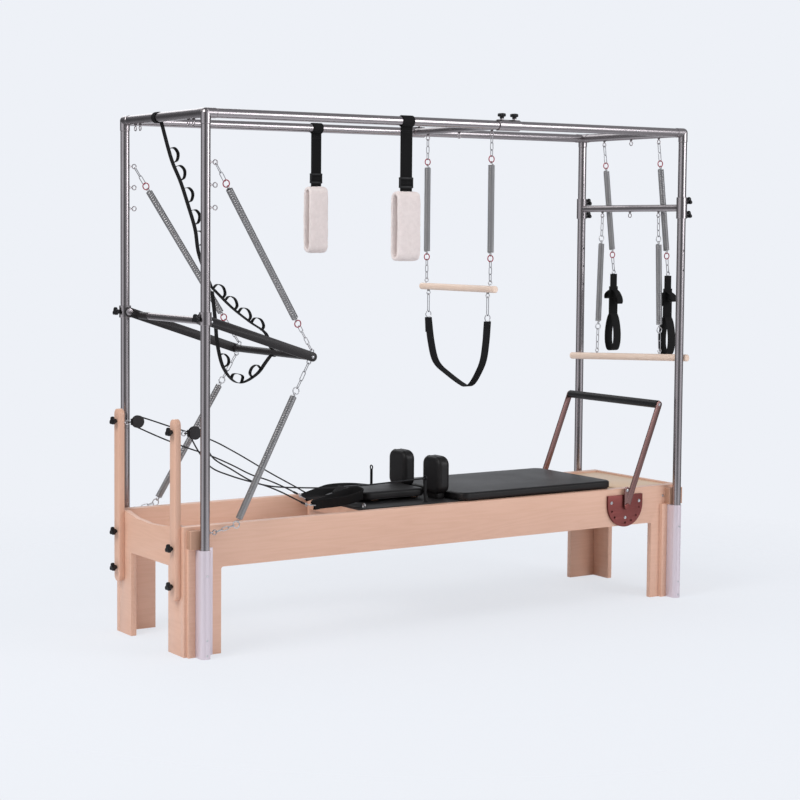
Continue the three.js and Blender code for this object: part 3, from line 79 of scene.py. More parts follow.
# Push-through bar
PUSH_PIVOT = (-1.22, 1.323)
PUSH_TIP = (-0.712, 1.158)
PUSH_ARM_Y, PUSH_TUBE_R, PUSH_EYE_Y = 0.312, 0.015, 0.295
# Foot bar
FOOT_PIVOT, FOOT_LENGTH, FOOT_LEAN, FOOT_ARM_Y = (0.952, 0.432), 0.488, 22, 0.315
# Risers and pulleys
RISER_Y, PULLEY_X, PULLEY_Z, PULLEY_R = 0.247, -1.212, 0.872, 0.026
# The bolts that clamp the risers
RISER_BOLTS = (0.276, 0.425)
# Trapeze and height bar
CARRIER_X, TRAPEZE_EYE_Y, SLING_Y, TRAPEZE_BAR_Z = 0.23, 0.236, 0.22, 1.415
HEIGHT_Z, HEIGHT_EYE_Y, ROLL_Z = 1.773, 0.195, 1.08
# Foot straps, padded loops and the thickness of plain webbing
STRAP_X, STRAP_Y, LOOP_X, WEB = 1.29, 0.189, -0.290, 0.0026
# Carriage
DECK_ENDS, ROPE_POST_Y, REST_Y = (-0.415, 0.905), 0.207, 0.130
SPRING_ROWS, SPRING_Z = (-0.135, -0.045, 0.045, 0.135), 0.4203
# The turned head of a pivot
PIVOT_HEAD = [(0, 0), (0.0142, 0), (0.015, 0.0008), (0.0138, 0.0032), (0.009, 0.004), (0, 0.004)]
# Place, height that it aims at, size, share of the key's power, and colour
LIGHTS = (
    ("key", (-5.6, -1.4, 5.2), 0.8, 3.6, 1.0, (1.0, 0.99, 0.98)),
    ("fill", (3.0, -5.0, 3.0), 1.0, 3.2, 0.46, (0.98, 0.98, 1.0)),
    ("back", (0.5, 4.8, 4.4), 1.0, 3.4, 0.17, (0.98, 0.99, 1.0)),
)


def at(x, y, z):
    """A place on the bed, in metres, in the model's frame."""
    return Vector((x + BED_SHIFT, y, z))


def tint(code):
    """A linear colour from the six hex digits of a screen colour."""
    parts = [int(code[i:i + 2], 16) / 255 for i in (0, 2, 4)]
    return tuple(c / 12.92 if c <= 0.04045 else ((c + 0.055) / 1.055) ** 2.4 for c in parts) + (1.0,)


def math_step(operation, swapped=False):
    """A method that adds one math node."""
    def method(self, other=None):
        first, second = (other, self) if swapped else (self, other)
        return self.math(operation, first, second)
    return method


class Signal:
    """A node socket that takes part in ordinary arithmetic."""

    def __init__(self, tree, socket):
        self.tree, self.socket = tree, socket

    def math(self, operation, first, second):
        node = self.tree.nodes.new("ShaderNodeMath")
        node.operation = operation
        for slot, value in zip(node.inputs, (first, second)):
            if isinstance(value, Signal):
                self.tree.links.new(value.socket, slot)
            elif value is not None:
                slot.default_value = value
        return Signal(self.tree, node.outputs[0])

    __add__, __radd__ = math_step("ADD"), math_step("ADD", True)
    __sub__, __rsub__ = math_step("SUBTRACT"), math_step("SUBTRACT", True)
    __mul__, __rmul__ = math_step("MULTIPLY"), math_step("MULTIPLY", True)
    __pow__, __abs__ = math_step("POWER"), math_step("ABSOLUTE")
    sine, pingpong, angle = math_step("SINE"), math_step("PINGPONG"), math_step("ARCTAN2")
    smaller, larger = math_step("MINIMUM"), math_step("MAXIMUM")

    def clamped(self):
        return self.larger(0.0).smaller(1.0)


class Nodes:
    """A node tree under construction."""

    def __init__(self, tree):
        self.tree = tree

    def node(self, kind, settings=None, out=0, **inputs):
        """Adds a node: its settings first, then a value or a link for each socket.

        A socket goes by its name, with underscores for spaces, or by its place as at0, at1 and so on.
        """
        node = self.tree.nodes.new(kind)
        for key, value in (settings or {}).items():
            setattr(node, key, value)
        for key, value in inputs.items():
            place = int(key[2:]) if key.startswith("at") else key.replace("_", " ")
            self.put(node.inputs[place], value)
        return Signal(self.tree, node.outputs[out])

    def put(self, socket, value):
        if isinstance(value, Signal):
            self.tree.links.new(value.socket, socket)
        else:
            socket.default_value = value

    def split(self, point):
        node = self.tree.nodes.new("ShaderNodeSeparateXYZ")
        self.put(node.inputs[0], point)
        return [Signal(self.tree, o) for o in node.outputs]

    def seen_by(self, *kinds):
        """One for the given kinds of rays, and zero for the rest."""
        node = self.tree.nodes.new("ShaderNodeLightPath")
        rays = [Signal(self.tree, node.outputs[f"Is {kind} Ray"]) for kind in kinds]
        seen = rays[0]
        for ray in rays[1:]:
            seen = seen.larger(ray)
        return seen


class Recipe(Nodes):
    """A material under construction."""

    def __init__(self, name):
        self.material = bpy.data.materials.new(name)
        self.material.use_nodes = True
        super().__init__(self.material.node_tree)
        self.tree.nodes.clear()
        self.shader = self.tree.nodes.new("ShaderNodeBsdfPrincipled")
        self.output = self.tree.nodes.new("ShaderNodeOutputMaterial")
        self.tree.links.new(self.shader.outputs[0], self.output.inputs[0])

    def set(self, **inputs):
        for key, value in inputs.items():
            self.put(self.shader.inputs[key.replace("_", " ")], value)

    def point(self, scale=(1, 1, 1), space="Object"):
        place = self.node("ShaderNodeTexCoord", out=space)
        return self.node("ShaderNodeMapping", at0=place, at3=scale)

    def noise(self, point, scale, detail=3.0):
        return self.node("ShaderNodeTexNoise", Vector=point, Scale=scale, Detail=detail, Roughness=0.5)

    def mix(self, first, second, factor):
        """A colour between two others."""
        return self.node("ShaderNodeMix", {"data_type": "RGBA"}, 2, at0=factor, at6=first, at7=second)

    def bump(self, height, strength, distance):
        self.set(Normal=self.node("ShaderNodeBump", Strength=strength, Distance=distance, Height=height))


FINISHES = {}


def along_grain(grain, along, across):
    """A texture scale that is drawn out along one axis."""
    return tuple(along if axis == grain else across for axis in "xyz")


def lifted(colour, times, plus):
    """A colour's lighter or darker neighbour, for worn, raised and shaded places."""
    return tuple(min(1.0, c * times + plus) for c in colour[:3]) + (1.0,)


def wood_finish(name, pale, deep, grain):
    """Lacquered board: broad figure, growth lines and fine pores along one axis."""
    recipe = Recipe(name)
    broad = recipe.noise(recipe.point(along_grain(grain, 1.2, 16)), 1.0, 3.0)
    lines = (broad * 9.0).pingpong(0.5) * 2.0
    fine = recipe.noise(recipe.point(along_grain(grain, 6, 420)), 1.0, 2.0)
    blotch = recipe.noise(recipe.point(), 2.2, 2.0)
    shade = (lines * 0.24 + fine * 0.34 + blotch * 0.5 - 0.15).clamped()
    recipe.set(Base_Color=recipe.mix(deep, pale, shade), Roughness=0.34 + fine * 0.16)
    recipe.set(Coat_Weight=0.22, Coat_Roughness=0.25)
    recipe.bump(fine, 0.12, 0.0004)
    return recipe.material


def metal_finish(name, colour, rough, grain, contrast=0.1, metallic=1.0):
    """Brushed or drawn metal with fine lines along one axis and faint handling marks."""
    recipe = Recipe(name)
    stretch = (90, 90, 90) if grain == "none" else along_grain(grain, 4, 700)
    lines = recipe.noise(recipe.point(stretch), 1.0, 2.0)
    marks = recipe.noise(recipe.point(), 14.0, 4.0)
    darker = lifted(colour, 1 - contrast * 2, 0)
    recipe.set(Base_Color=recipe.mix(darker, colour, (lines * 0.6 + marks * 0.4).clamped()))
    recipe.set(Metallic=metallic, Roughness=(rough - 0.04) + lines * 0.04 + marks * 0.06)
    recipe.bump(lines, 0.012, 0.0002)
    return recipe.material


def painted_finish(name, colour, rough):
    """Black powder coat or moulded plastic with a fine skin."""
    recipe = Recipe(name)
    skin = recipe.noise(recipe.point(), 900.0, 2.0)
    wear = recipe.noise(recipe.point(), 9.0, 4.0)
    worn = recipe.mix(colour, lifted(colour, 1.9, 0.004), wear * 0.6)
    recipe.set(Base_Color=worn, Roughness=(rough - 0.08) + wear * 0.16, Specular_IOR_Level=0.3)
    recipe.bump(skin, 0.18, 0.0003)
    return recipe.material


def vinyl_finish(name, colour):
    """Upholstery vinyl: pebbled grain with soft broad variation."""
    recipe = Recipe(name)
    point = recipe.point()
    pebbles = recipe.node("ShaderNodeTexVoronoi", {"feature": "SMOOTH_F1"}, Vector=point, Scale=620.0)
    broad = recipe.noise(point, 6.0, 3.0)
    worn = recipe.mix(colour, lifted(colour, 2.2, 0.006), broad * 0.7)
    recipe.set(Base_Color=worn, Roughness=0.36 + broad * 0.16, Specular_IOR_Level=0.32)
    recipe.bump(pebbles + broad * 0.8, 0.22, 0.0005)
    return recipe.material


def webbing_finish(name, colour, pitch):
    """Woven tape: a twill of warp and weft threads that follows the strap's own UV map."""
    recipe = Recipe(name)
    along, across, _ = recipe.split(recipe.point(space="UV"))
    warp = abs((across * (math.pi / pitch)).sine())
    weft = abs(((along + across * 0.5) * (math.pi / (pitch * 1.6))).sine())
    thread = (warp * 0.6 + weft * 0.4).clamped()
    fuzz = recipe.noise(recipe.point(), 1500.0, 2.0)
    worn = recipe.mix(colour, lifted(colour, 2.6, 0.006), thread * fuzz)
    recipe.set(Base_Color=worn, Roughness=0.66 + fuzz * 0.2, Specular_IOR_Level=0.2)
    recipe.bump(thread, 0.5, 0.0006)
    return recipe.material


def rope_finish(name, colour, pitch):
    """Braided cord: two sets of strands cross along the cord's own UV map."""
    recipe = Recipe(name)
    along, around, _ = recipe.split(recipe.point(space="UV"))
    one = abs(((along + around) * (math.pi / pitch)).sine())
    two = abs(((along - around) * (math.pi / pitch)).sine())
    strand = one.smaller(two)
    worn = recipe.mix(colour, lifted(colour, 3.0, 0.01), strand)
    recipe.set(Base_Color=worn, Roughness=0.55 + strand * 0.2, Specular_IOR_Level=0.25)
    recipe.bump(strand, 0.6, 0.0008)
    return recipe.material


def fleece_finish(name, pale, deep):
    """Thick off-white pile."""
    recipe = Recipe(name)
    clump = recipe.noise(recipe.point(), 55.0, 4.0)
    fibre = recipe.noise(recipe.point(), 420.0, 2.0)
    shade = (clump * 0.9 + fibre * 0.35).clamped()
    recipe.set(Base_Color=recipe.mix(deep, pale, shade), Roughness=0.86 + fibre * 0.1)
    recipe.bump(clump + fibre * 0.5, 0.5, 0.002)
    return recipe.material


# Screen colour, roughness, grain, contrast and, where it isn't bare metal, the metallic share
METALS = {
    "fittings": ("CFCFD2", 0.3, "none", 0.08),
    "socket_aluminium": ("DED2DA", 0.36, "z", 0.05, 0.35),
    "wheel_hub": ("C5C5CA", 0.35, "none", 0.05),
    "plate_steel": ("8E4C48", 0.34, "x", 0.12, 0.7),
    "arm_steel": ("95736F", 0.26, "z", 0.16),
    "ring_red": ("A5203C", 0.34, "none", 0.1, 0.2),
    "spring_wire": ("B2B1B2", 0.4, "none", 0.04),
}
# Screen colour and roughness. The spacer block's darker brown is painted shade between post and panel.
PAINTS = {
    "spacer_block": ("A07C68", 0.45), "black_coat": ("201D1E", 0.42), "knob_plastic": ("0F0F11", 0.4),
    "deck_board": ("1C1B1C", 0.5), "tyre": ("1B1B1D", 0.55), "thread": ("2A2A2C", 0.6),
}


def make_finishes(looks):
    """Every finish of the table, by name."""
    maple, pale = tuple(looks.maple_colour) + (1.0,), tuple(looks.platform_colour) + (1.0,)
    deep = tuple(c * s for c, s in zip(maple, (0.84, 0.78, 0.72, 1.0)))
    made = FINISHES
    for grain in "xyz":
        made[f"maple_{grain}"] = wood_finish(f"maple_{grain}", maple, deep, grain)
        made[f"steel_{grain}"] = metal_finish(
            f"steel_{grain}", tint("B6AFB1"), looks.steel_roughness, grain, 0.12)
    deep = tuple(c * s for c, s in zip(pale, (0.86, 0.8, 0.7, 1.0)))
    made["platform_ply"] = wood_finish("platform_ply", pale, deep, "y")
    made["dowel_y"] = wood_finish("dowel_y", tint("F4DECD"), tint("E6C9B5"), "y")
    for name, (code, *rest) in METALS.items():
        made[name] = metal_finish(name, tint(code), *rest)
    for name, (code, rough) in PAINTS.items():
        made[name] = painted_finish(name, tint(code), rough)
    for name, code in (("pad_vinyl", "0D0B0C"), ("foam_grip", "131314")):
        made[name] = vinyl_finish(name, tint(code))
    made["web_tape"] = webbing_finish("web_tape", tint("0C0B0C"), 0.0026)
    made["rope_braid"] = rope_finish("rope_braid", tint("101012"), 0.0042)
    made["fleece_pile"] = fleece_finish("fleece_pile", tint("F3E8E5"), tint("DBCFCC"))


def placed(name, data):
    """A new object in the scene."""
    thing = bpy.data.objects.new(name, data)
    bpy.context.scene.collection.objects.link(thing)
    return thing


def plain_mesh(holder):
    """The mesh that an object's curve or modifiers make. The object itself goes."""
    solved = holder.evaluated_get(bpy.context.evaluated_depsgraph_get())
    mesh = bpy.data.meshes.new_from_object(solved)
    bpy.data.objects.remove(holder)
    return mesh


def arc(centre, radius, first, last, count):
    """Points of an arc in a plane, in degrees."""
    turns = [math.radians(first + (last - first) * k / count) for k in range(count + 1)]
    return [(centre[0] + radius * math.cos(t), centre[1] + radius * math.sin(t)) for t in turns]


def wrapped(centre, first, radius, turns):
    """Places round a tube, turned from a first direction towards up."""
    return [centre + first * (radius * math.cos(t)) + UP * (radius * math.sin(t)) for t in turns]


def full_turn(count=40):
    return [2 * math.pi * k / count for k in range(count)]


def washer(radius, height, bottom=0):
    """The profile of a plain turned disc."""
    return [(0, bottom), (radius, bottom), (radius, height), (0, height)]


def collar(bore, radius, half, ease=0.0008):
    """The profile of a sleeve with softened rims."""
    upper = [(radius, half - ease), (radius - ease, half), (bore, half)]
    return [(a, -b) for a, b in reversed(upper)] + upper


def round_section(radius, sides):
    turns = full_turn(sides)
    return [(radius * math.cos(t), radius * math.sin(t)) for t in turns]


def tape_section(width, thickness):
    """A flat tape with rolled edges."""
    half, edge = width / 2, thickness / 2
    right = [(half - edge + edge * math.sin(t), -edge * math.cos(t)) for t in (0, 0.8, 1.57, 2.34, math.pi)]
    left = [(-a, -b) for a, b in right]
    middle = [(half * s, edge) for s in (0.5, 0.0, -0.5)]
    return right + middle + left + [(-a, -b) for a, b in middle]


def smooth_path(points, steps, closed=False):
    """A centripetal curve through the points, as evenly spaced places."""
    pts = [Vector(p) for p in points]
    if closed:
        pts = [pts[-1]] + pts + pts[:2]
    else:
        pts = [pts[0] * 2 - pts[1]] + pts + [pts[-1] * 2 - pts[-2]]
    dense = []
    for a, b, c, d in zip(pts, pts[1:], pts[2:], pts[3:]):
        t0, t1 = 0.0, max((b - a).length, 1e-6) ** 0.5
        t2 = t1 + max((c - b).length, 1e-6) ** 0.5
        t3 = t2 + max((d - c).length, 1e-6) ** 0.5
        for k in range(16):
            t = t1 + (t2 - t1) * k / 16
            ab = a * ((t1 - t) / (t1 - t0)) + b * ((t - t0) / (t1 - t0))
            bc = b * ((t2 - t) / (t2 - t1)) + c * ((t - t1) / (t2 - t1))
            cd = c * ((t3 - t) / (t3 - t2)) + d * ((t - t2) / (t3 - t2))
            abc = ab * ((t2 - t) / (t2 - t0)) + bc * ((t - t0) / (t2 - t0))
            bcd = bc * ((t3 - t) / (t3 - t1)) + cd * ((t - t1) / (t3 - t1))
            dense.append(abc * ((t2 - t) / (t2 - t1)) + bcd * ((t - t1) / (t2 - t1)))
    if not closed:
        dense.append(pts[-2].copy())
    else:
        dense.append(dense[0].copy())
    lengths = [0.0]
    for a, b in zip(dense, dense[1:]):
        lengths.append(lengths[-1] + (b - a).length)
    result, j = [], 0
    for k in range(steps if closed else steps + 1):
        target = lengths[-1] * k / steps
        while j < len(lengths) - 2 and lengths[j + 1] < target:
            j += 1
        span = lengths[j + 1] - lengths[j]
        result.append(dense[j].lerp(dense[j + 1], (target - lengths[j]) / span if span else 0.0))
    return result


def length_of(path):
    return sum((b - a).length for a, b in zip(path, path[1:]))


class Form:
    """Collects closed shells, each with its own UV map, and becomes one piece."""

    def __init__(self):
        self.points, self.faces, self.uvs = [], [], []

    def add(self, points, faces, uvs=None):
        start = len(self.points)
        self.points += [tuple(p) for p in points]
        for k, face in enumerate(faces):
            self.faces.append([start + i for i in face])
            self.uvs.append(uvs[k] if uvs else [(0.0, 0.0)] * len(face))
        return self

    def sweep(self, path, section, wide=None, closed=False):
        """A section carried along a path. Its first axis keeps square to wide where that is given."""
        path = [Vector(p) for p in path]
        count, sides = len(path), len(section)
        rings, runs, run = [], [], 0.0
        side = wide
        for i, point in enumerate(path):
            before = path[i - 1] if i or closed else path[0]
            after = path[(i + 1) % count] if i < count - 1 or closed else path[-1]
            tangent = (after - before).normalized()
            if side is None:
                side = tangent.orthogonal()
            side = (side - tangent * side.dot(tangent)).normalized()
            normal = tangent.cross(side)
            if i:
                run += (point - path[i - 1]).length
            runs.append(run)
            rings += [point + side * a + normal * b for a, b in section]
        girth = [0.0]
        for k in range(sides):
            a, b = Vector(section[k]), Vector(section[(k + 1) % sides])
            girth.append(girth[-1] + (b - a).length)
        faces, uvs = [], []
        if closed:
            runs.append(run + (path[0] - path[-1]).length)
        for i in range(count if closed else count - 1):
            j = (i + 1) % count
            for k in range(sides):
                m = (k + 1) % sides
                faces.append([i * sides + k, i * sides + m, j * sides + m, j * sides + k])
                low, high, left, right = runs[i], runs[i + 1], girth[k], girth[k + 1]
                uvs.append([(low, left), (low, right), (high, right), (high, left)])
        if not closed:
            last = (count - 1) * sides
            faces += [list(range(sides))[::-1], [last + k for k in range(sides)]]
            uvs += [[(0.0, girth[k]) for k in range(sides)]] * 2
        return self.add(rings, faces, uvs)

    def rod(self, start, end, radius, sides=28, ease=0.0008):
        """A round bar with softened rims."""
        start, end = Vector(start), Vector(end)
        length = (end - start).length
        ease = min(ease, radius / 2, length / 3)
        profile = [(0, 0), (radius - ease, 0), (radius, ease), (radius, length - ease),
                   (radius - ease, length), (0, length)]
        return self.lathe(profile, start, end - start, sides)

    def ring(self, centre, radius, wire, along, across, steps=28, sides=10):
        """A closed wire ring in the plane of two directions."""
        along, across = Vector(along).normalized(), Vector(across).normalized()
        points = [Vector(centre) + along * (radius * math.cos(t)) + across * (radius * math.sin(t))
                  for t in full_turn(steps)]
        return self.sweep(points, round_section(wire, sides), along.cross(across), True)

    def link(self, start, end, half, wire, across, sides=8):
        """A long oval link of bent wire."""
        along = (end - start).normalized()
        across = square_to(across, along)
        reach = min(half, (end - start).length / 2.5)
        points = []
        for centre, first in ((end - along * reach, 90), (start + along * reach, 270)):
            for k in range(9):
                turn = math.radians(first - k * 22.5)
                points.append(centre + along * (reach * math.cos(turn)) + across * (half * math.sin(turn)))
        return self.sweep(points, round_section(wire, sides), along.cross(across), True)

    def lathe(self, profile, base, direction, sides=32):
        """A turned shape from radius and distance pairs, from axis to axis or a closed loop."""
        base = Vector(base)
        turn = UP.rotation_difference(Vector(direction).normalized())
        points, rows = [], []
        loop = profile[0][0] > 1e-9
        for radius, reach in profile:
            if radius < 1e-9:
                rows.append([len(points)])
                points.append(base + turn @ Vector((0, 0, reach)))
            else:
                rows.append(list(range(len(points), len(points) + sides)))
                points += [base + turn @ Vector((a, b, reach)) for a, b in round_section(radius, sides)]
        faces, uvs = [], []
        pairs = list(zip(range(len(rows)), range(1, len(rows))))
        if loop:
            pairs.append((len(rows) - 1, 0))
        for i, j in pairs:
            one, two = rows[i], rows[j]
            widest = max(profile[i][0], profile[j][0])
            for k in range(sides):
                m = (k + 1) % sides
                u = [2 * math.pi * widest * t / sides for t in (k, k + 1)]
                low, high = (profile[i][1], u[0]), (profile[j][1], u[0])
                if len(one) > 1 and len(two) > 1:
                    faces.append([one[k], one[m], two[m], two[k]])
                    uvs.append([low, (low[0], u[1]), (high[0], u[1]), high])
                elif len(one) > 1:
                    faces.append([one[k], one[m], two[0]])
                    uvs.append([low, (low[0], u[1]), high])
                elif len(two) > 1:
                    faces.append([one[0], two[m], two[k]])
                    uvs.append([low, (high[0], u[1]), high])
        return self.add(points, faces, uvs)

    def take(self, mesh):
        """Adds what a bmesh holds."""
        mesh.verts.index_update()
        self.add([v.co.copy() for v in mesh.verts], [[v.index for v in f.verts] for f in mesh.faces])
        mesh.free()
        return self

    def block(self, low, high, ease=0.0015):
        """A box with rounded edges."""
        low, high = Vector(low), Vector(high)
        low, high = Vector(map(min, low, high)), Vector(map(max, low, high))
        mesh = bmesh.new()
        place = Matrix.Translation((low + high) / 2) @ Matrix.Diagonal((high - low).to_4d())
        bmesh.ops.create_cube(mesh, size=1.0, matrix=place)
        ease = min(ease, min(high - low) / 3)
        bmesh.ops.bevel(mesh, geom=list(mesh.edges), offset=ease, segments=2, profile=0.5, affect="EDGES")
        return self.take(mesh)

    def plate(self, outline, plane, start, thickness, ease=0.0006, holes=()):
        """A flat plate with true holes.

        Its outline lies in the xz or the yz plane, and it grows along the third axis.
        """
        curve = bpy.data.curves.new("plate_outline", "CURVE")
        curve.dimensions, curve.fill_mode = "2D", "BOTH"
        curve.extrude, curve.bevel_depth, curve.bevel_resolution = abs(thickness) / 2 - ease, ease, 1
        curve.offset = -ease
        for loop in (outline, *holes):
            spline = curve.splines.new("POLY")
            spline.points.add(len(loop) - 1)
            for p, (a, b) in zip(spline.points, loop):
                p.co = (a, b, 0, 1)
            spline.use_cyclic_u = True
        flat = plain_mesh(placed("plate_outline", curve))
        bpy.data.curves.remove(curve)
        mesh = bmesh.new()
        mesh.from_mesh(flat)
        bpy.data.meshes.remove(flat)
        bmesh.ops.remove_doubles(mesh, verts=mesh.verts, dist=1e-6)
        middle = start + thickness / 2
        for v in mesh.verts:
            a, b, c = v.co
            v.co = (a, middle + c, b) if plane == "xz" else (middle + c, a, b)
        return self.take(mesh)

    def make(self, name, finish, body, slot, replaces=(), sharp=38):
        mesh = bpy.data.meshes.new(name)
        mesh.from_pydata(self.points, [], self.faces)
        layer = mesh.uv_layers.new(name="UVMap")
        flat = [c for face in self.uvs for uv in face for c in uv]
        layer.data.foreach_set("uv", np.array(flat, np.float32))
        return finish_piece(name, mesh, finish, body, replaces, sharp)

    def loose(self, name, finish, slot, replaces=()):
        """A piece that isn't on a body, for one that runs between two."""
        return self.make(name, finish, None, slot, replaces)


def outward(mesh):
    """Turns a mesh's faces outward."""
    work = bmesh.new()
    work.from_mesh(mesh)
    bmesh.ops.recalc_face_normals(work, faces=work.faces)
    work.to_mesh(mesh)
    work.free()


def finish_piece(name, mesh, finish, body, replaces=(), sharp=38):
    """Turns a mesh's faces outward, gives it its finish and lets it ride on its body."""
    outward(mesh)
    mesh.materials.clear()
    mesh.materials.append(FINISHES[finish])
    mesh.shade_smooth()
    mesh.set_sharp_from_angle(angle=math.radians(sharp))
    piece = placed(name, mesh)
    if body:
        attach(piece, body)
    if replaces:
        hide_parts(*replaces)
    return piece


def dressed(node, finish, body, ease=0.0016):
    """A board of the model with its edges eased."""
    work = bmesh.new()
    work.from_mesh(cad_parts[node].data)
    bmesh.ops.remove_doubles(work, verts=work.verts, dist=1e-6)
    bmesh.ops.dissolve_limit(work, angle_limit=math.radians(1), verts=work.verts, edges=work.edges)
    edges = [e for e in work.edges if len(e.link_faces) == 2 and e.calc_face_angle(0) > math.radians(40)]
    bmesh.ops.bevel(work, geom=edges, offset=ease, segments=2, profile=0.5, affect="EDGES", clamp_overlap=True)
    mesh = bpy.data.meshes.new(node)
    work.to_mesh(mesh)
    work.free()
    return finish_piece(f"{node}_board", mesh, finish, body, [node])


def square_to(direction, along):
    """The part of a direction that is square to another, at unit length."""
    direction = Vector(direction)
    return (direction - along * direction.dot(along)).normalized()


def eye(form, root, direction, plane, reach, surface):
    """A screw eye: nut on the tube, neck and ring. The ring lies in the plane of both directions."""
    root, direction = Vector(root), Vector(direction).normalized()
    centre = root + direction * reach
    form.lathe([(0, surface - 0.001), (0.0058, surface - 0.001), (0.0058, surface + 0.0042),
                (0.0048, surface + 0.005), (0, surface + 0.005)], root, direction, 6)
    form.rod(root, centre - direction * (EYE_R - EYE_WIRE), 0.0028, 14)
    form.ring(centre, EYE_R, EYE_WIRE, direction, plane)


def rigging(name, top, start, stop, bottom, across, bodies, colour):
    """The ring and the link at both ends of a spring, each on the body that it hangs from."""
    along = (stop - start).normalized()
    side = square_to(across, along)
    normal = along.cross(side)
    for key, hanger, hook, way, body in (("top", top, start, 1, bodies[0]), ("bottom", bottom, stop, -1, bodies[1])):
        centre = hook - along * (way * RING_R)
        ring = Form().ring(centre, RING_R, RING_WIRE, along, side)
        ring.make(f"{name}_{key}_ring", colour, body, "spring_steel")
        out = (hanger - centre).normalized()
        inner = centre + out * (RING_R - RING_WIRE - LINK_WIRE)
        chain = Form()
        first = hanger - out * LINK_CATCH
        count = max(1, round((inner - first).length / LINK_PITCH))
        step = (inner - first) / count
        reach = step.normalized() * (2 * LINK_WIRE)
        for k in range(count):
            low, high = first + step * k, first + step * (k + 1)
            if k < count - 1:
                high = high + reach * 0.98
            chain.link(low, high, LINK_HALF, LINK_WIRE, normal if k % 2 == 0 else out.cross(normal))
        chain.make(f"{name}_{key}_links", "fittings", body, "spring_steel")


def knob(form, base, direction, across, neck=0.012):
    """A lobed clamping knob on its stud."""
    base, direction = Vector(base), Vector(direction).normalized()
    across = square_to(across, direction)
    other = direction.cross(across)
    form.rod(base - direction * 0.004, base + direction * (neck + 0.002), 0.004, 16)
    form.lathe([(0, 0.004), (0.009, 0.004), (0.0095, neck + 0.001), (0, neck + 0.001)], base, direction, 24)
    sides, points, faces = 54, [], []
    levels = [(0.72, 0.0), (0.93, 0.001), (1.0, 0.0035), (1.0, 0.0105), (0.93, 0.0132), (0.6, 0.0145),
              (0.28, 0.0135)]
    for share, rise in levels:
        for turn in full_turn(sides):
            reach = (0.0105 + 0.0085 * ((1 + math.cos(3 * turn)) / 2) ** 0.8) * share
            points.append(base + direction * (neck + rise) + across * (reach * math.cos(turn))
                          + other * (reach * math.sin(turn)))
    for i in range(len(levels) - 1):
        for k in range(sides):
            m = (k + 1) % sides
            faces.append([i * sides + k, i * sides + m, (i + 1) * sides + m, (i + 1) * sides + k])
    last = (len(levels) - 1) * sides
    faces += [list(range(sides))[::-1], [last + k for k in range(sides)]]
    form.add(points, faces)


def stadium(start, stop, half, count=12):
    """The outline of a flat bar with round ends, in its plane."""
    angle = math.degrees(math.atan2(stop[1] - start[1], stop[0] - start[0]))
    return arc(stop, half, angle - 90, angle + 90, count) + arc(start, half, angle + 90, angle + 270, count)


def disc(centre, radius, count=20):
    return arc(centre, radius, 0, 360 - 360 / count, count - 1)


class Rule(Nodes):
    """A node group for the repeats, with named inputs, that ends in realised mesh with a material."""

    def __init__(self, name, sockets):
        super().__init__(bpy.data.node_groups.new(name, "GeometryNodeTree"))
        face = self.tree.interface
        self.sockets = {}
        for key, kind, value in [("Geometry", "Geometry", None), *sockets, ("Material", "Material", None)]:
            self.sockets[key] = face.new_socket(key, in_out="INPUT", socket_type=f"NodeSocket{kind}")
            if value is not None:
                self.sockets[key].default_value = value
        face.new_socket("Geometry", in_out="OUTPUT", socket_type="NodeSocketGeometry")
        self.source = self.tree.nodes.new("NodeGroupInput")

    def given(self, name):
        return Signal(self.tree, self.source.outputs[name])

    def triple(self, x, y, z):
        return self.node("ShaderNodeCombineXYZ", X=x, Y=y, Z=z)

    def close(self, geometry):
        real = self.node("GeometryNodeRealizeInstances", at0=geometry)
        smooth = self.node("GeometryNodeSetShadeSmooth", at0=real)
        painted = self.node("GeometryNodeSetMaterial", at0=smooth, Material=self.given("Material"))
        output = self.tree.nodes.new("NodeGroupOutput")
        self.put(output.inputs[0], painted)
        return self


RULES = {}


